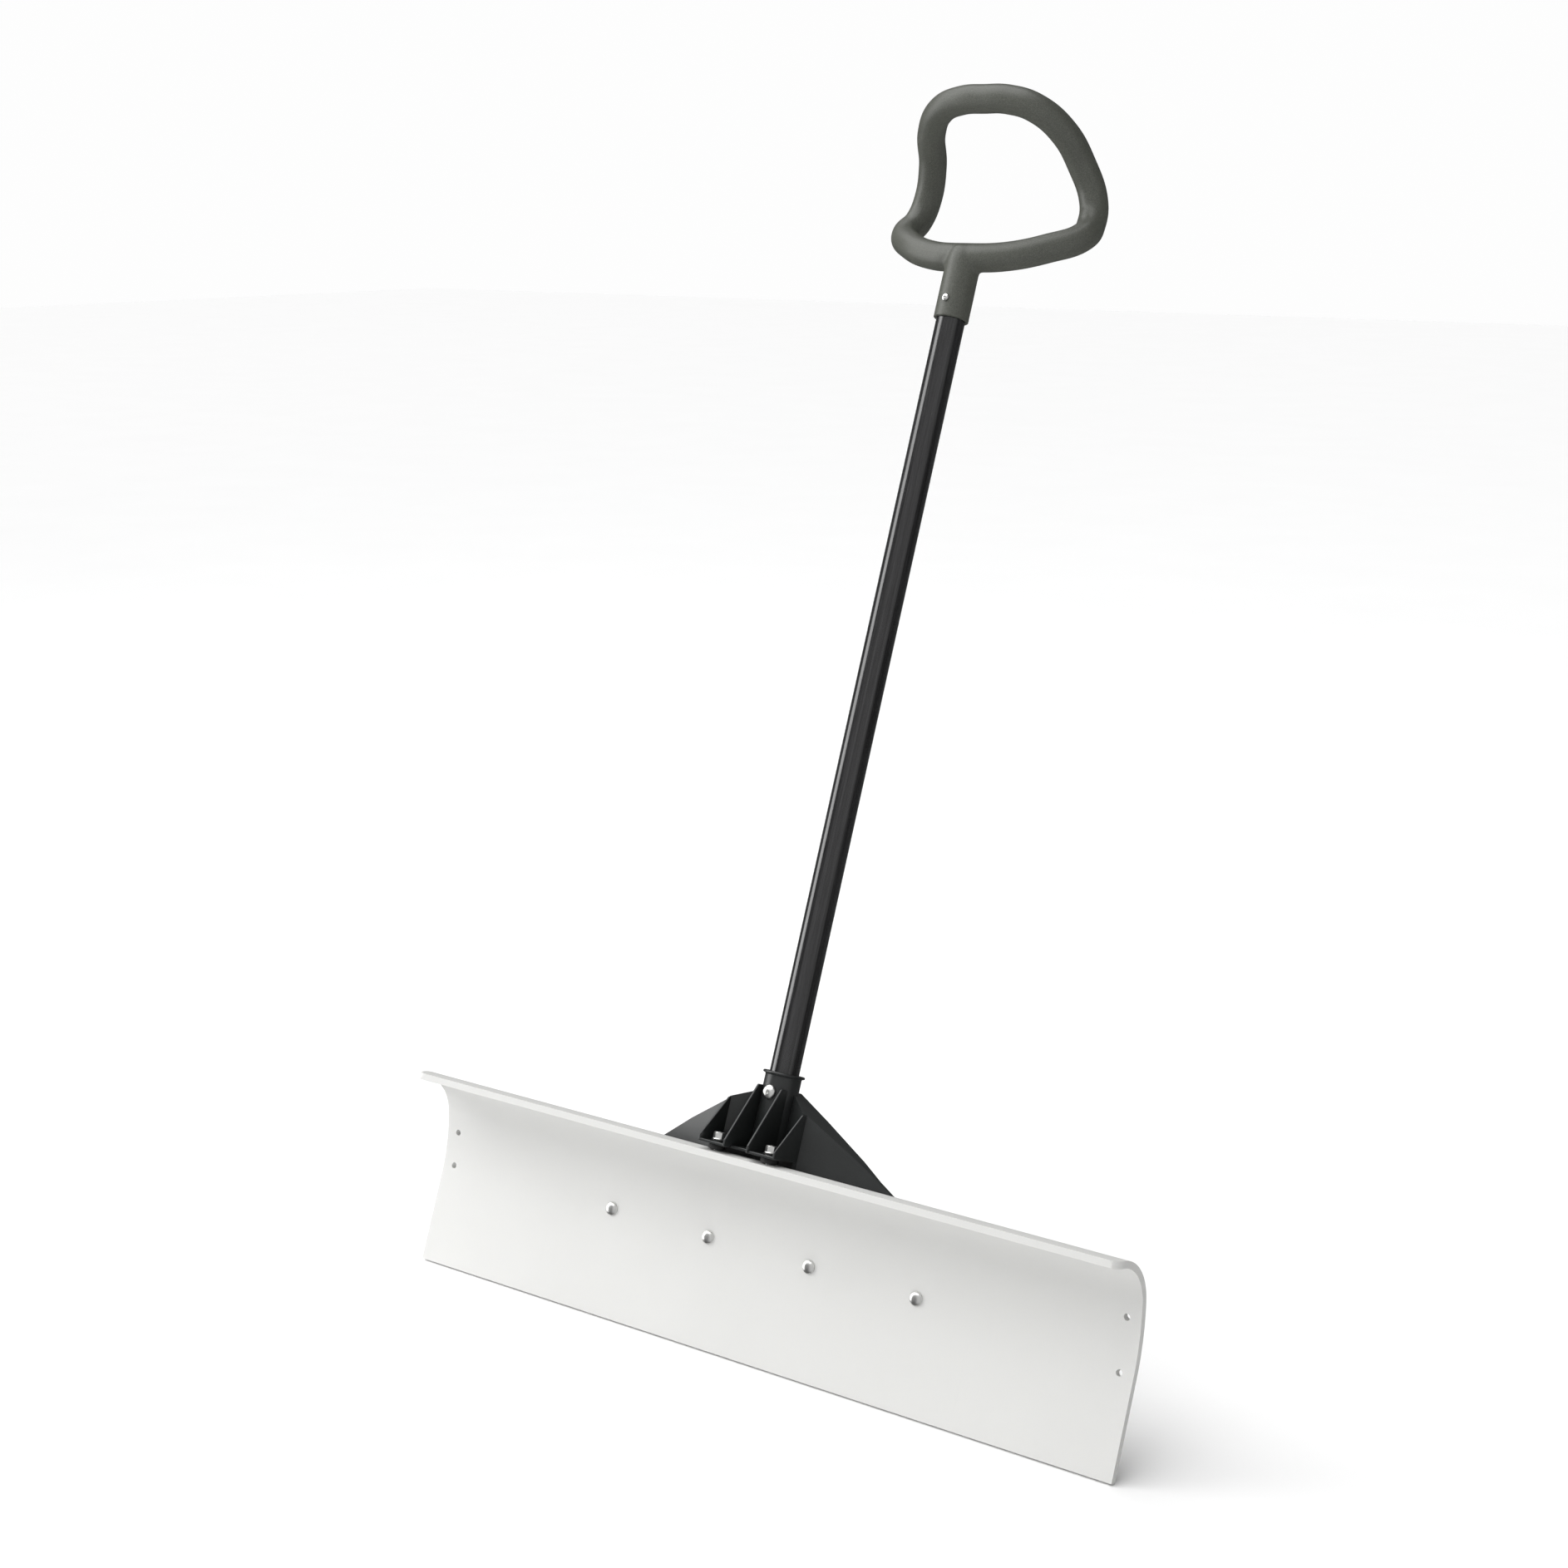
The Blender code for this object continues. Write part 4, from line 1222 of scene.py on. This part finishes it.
# ---- stage ---------------------------------------------------------------------------
CAMERA_PLACE = Vector((1.5808, -2.3077, 1.2248))
CAMERA_LOOK = Vector((-0.5801, 0.7831, -0.2241))
CAMERA_LENS = 60.4
SENSOR = 36.0
SUN_FROM = Vector((-0.38, -0.16, 0.90))
SUN_POWER = 2.85
SUN_SPREAD = math.radians(72.0)
STRIP_PLACE = (-3.58, -1.78, 1.30)
STRIP_SIZE = (2.0, 5.0)
STRIP_POWER = 112.0
FRONT = (0.5801, -0.7831, 0.2241)       # the side that the broad soft light comes from
AMBIENT = (0.10, 0.56)                  # away from that side, and on it
SOFT_EDGE = (0.45, 0.72)                # how squarely to that side the light fades in
BACKDROP = 0.985
FLOOR_SIZE = 40.0
STRIP_AIM = Vector((0.0, 0.0, 0.8))


class PUSHER_OT_stage(bpy.types.Operator):
    """Pale floor, soft lights and the camera"""
    bl_idname = "pusher.stage"
    bl_label = "Stage"

    def execute(self, context):
        pick_none()
        bpy.ops.mesh.primitive_plane_add(size=FLOOR_SIZE)
        floor = bpy.context.object
        floor.name = "floor"
        floor.data.materials.append(floor_material())
        floor.visible_glossy = False
        turn = SUN_FROM.to_track_quat("Z", "Y").to_euler()
        bpy.ops.object.light_add(type="SUN", rotation=turn)
        sun = bpy.context.object
        sun.name = "key"
        sun.data.energy = SUN_POWER
        sun.data.angle = SUN_SPREAD
        self.side_strip()
        context.scene.world = self.surroundings()
        context.scene.view_settings.view_transform = "Standard"
        turn = CAMERA_LOOK.to_track_quat("-Z", "Y").to_euler()
        bpy.ops.object.camera_add(location=CAMERA_PLACE, rotation=turn)
        camera = bpy.context.object
        camera.data.sensor_width = SENSOR
        camera.data.lens = CAMERA_LENS
        camera.data.clip_end = 100.0
        context.scene.camera = camera
        return {"FINISHED"}

    @staticmethod
    def side_strip():
        """A tall softbox on the left, for the bright line down the tube."""
        turn = (STRIP_AIM - Vector(STRIP_PLACE)).to_track_quat("-Z", "Y").to_euler()
        bpy.ops.object.light_add(type="AREA", location=STRIP_PLACE, rotation=turn)
        lamp = bpy.context.object
        lamp.name = "side_strip"
        lamp.data.shape = "RECTANGLE"
        lamp.data.size, lamp.data.size_y = STRIP_SIZE
        lamp.data.energy = STRIP_POWER
        lamp.visible_camera = False

    @staticmethod
    def surroundings():
        """A white backdrop; as a source of light it is broad at the front and dim elsewhere."""
        world = bpy.data.worlds.new("studio")
        world.use_nodes = True
        nodes, links = world.node_tree.nodes, world.node_tree.links
        place = nodes.new("ShaderNodeTexCoord")
        facing = nodes.new("ShaderNodeVectorMath")
        facing.operation = "DOT_PRODUCT"
        facing.inputs[1].default_value = FRONT
        links.new(place.outputs["Generated"], facing.inputs[0])
        soft = nodes.new("ShaderNodeMapRange")
        for key, value in zip(("From Min", "From Max", "To Min", "To Max"), (*SOFT_EDGE, *AMBIENT)):
            soft.inputs[key].default_value = value
        links.new(facing.outputs["Value"], soft.inputs["Value"])
        sight = nodes.new("ShaderNodeLightPath")
        level = nodes.new("ShaderNodeMapRange")
        level.inputs["To Max"].default_value = BACKDROP
        links.new(sight.outputs["Is Camera Ray"], level.inputs["Value"])
        links.new(soft.outputs["Result"], level.inputs["To Min"])
        links.new(level.outputs["Result"], nodes["Background"].inputs["Strength"])
        nodes["Background"].inputs["Color"].default_value = (1.0, 1.0, 1.0, 1.0)
        return world


# ---- panel and registration ----------------------------------------------------------
OPERATORS = (
    PUSHER_OT_stage, PUSHER_OT_blade, PUSHER_OT_bracket, PUSHER_OT_shaft, PUSHER_OT_grip,
    PUSHER_OT_carriage_bolts, PUSHER_OT_nuts, PUSHER_OT_washers, PUSHER_OT_spacers,
    PUSHER_OT_socket_bolt, PUSHER_OT_grip_screw,
)
GROUPS = {
    "pusher_blade": BladeSizes,
    "pusher_bracket": BracketSizes,
    "pusher_handle": HandleSizes,
    "pusher_hardware": HardwareSizes,
    "pusher_finishes": Finishes,
}


class PUSHER_PT_panel(bpy.types.Panel):
    """Lists the steps that build the tool"""
    bl_idname = "PUSHER_PT_panel"
    bl_label = "Snow pusher"
    bl_space_type = "VIEW_3D"
    bl_region_type = "UI"
    bl_category = "Snow pusher"

    def draw(self, context):
        for group in GROUPS:
            box = self.layout.box()
            box.label(text=group.split("_")[1].capitalize())
            for key in getattr(context.scene, group).bl_rna.properties.keys():
                if key not in {"rna_type", "name"}:
                    box.prop(getattr(context.scene, group), key)
        for operator in OPERATORS:
            self.layout.operator(operator.bl_idname)


def register():
    for group in GROUPS.values():
        bpy.utils.register_class(group)
    for name, group in GROUPS.items():
        setattr(bpy.types.Scene, name, PointerProperty(type=group))
    for operator in OPERATORS:
        bpy.utils.register_class(operator)
    bpy.utils.register_class(PUSHER_PT_panel)


def unregister():
    bpy.utils.unregister_class(PUSHER_PT_panel)
    for operator in reversed(OPERATORS):
        bpy.utils.unregister_class(operator)
    for name, group in GROUPS.items():
        delattr(bpy.types.Scene, name)
        bpy.utils.unregister_class(group)


def main():
    """Builds every piece in order."""
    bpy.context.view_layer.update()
    register()
    for operator in OPERATORS:
        family, name = operator.bl_idname.split(".")
        getattr(getattr(bpy.ops, family), name)()


if __name__ == "__main__":
    main()
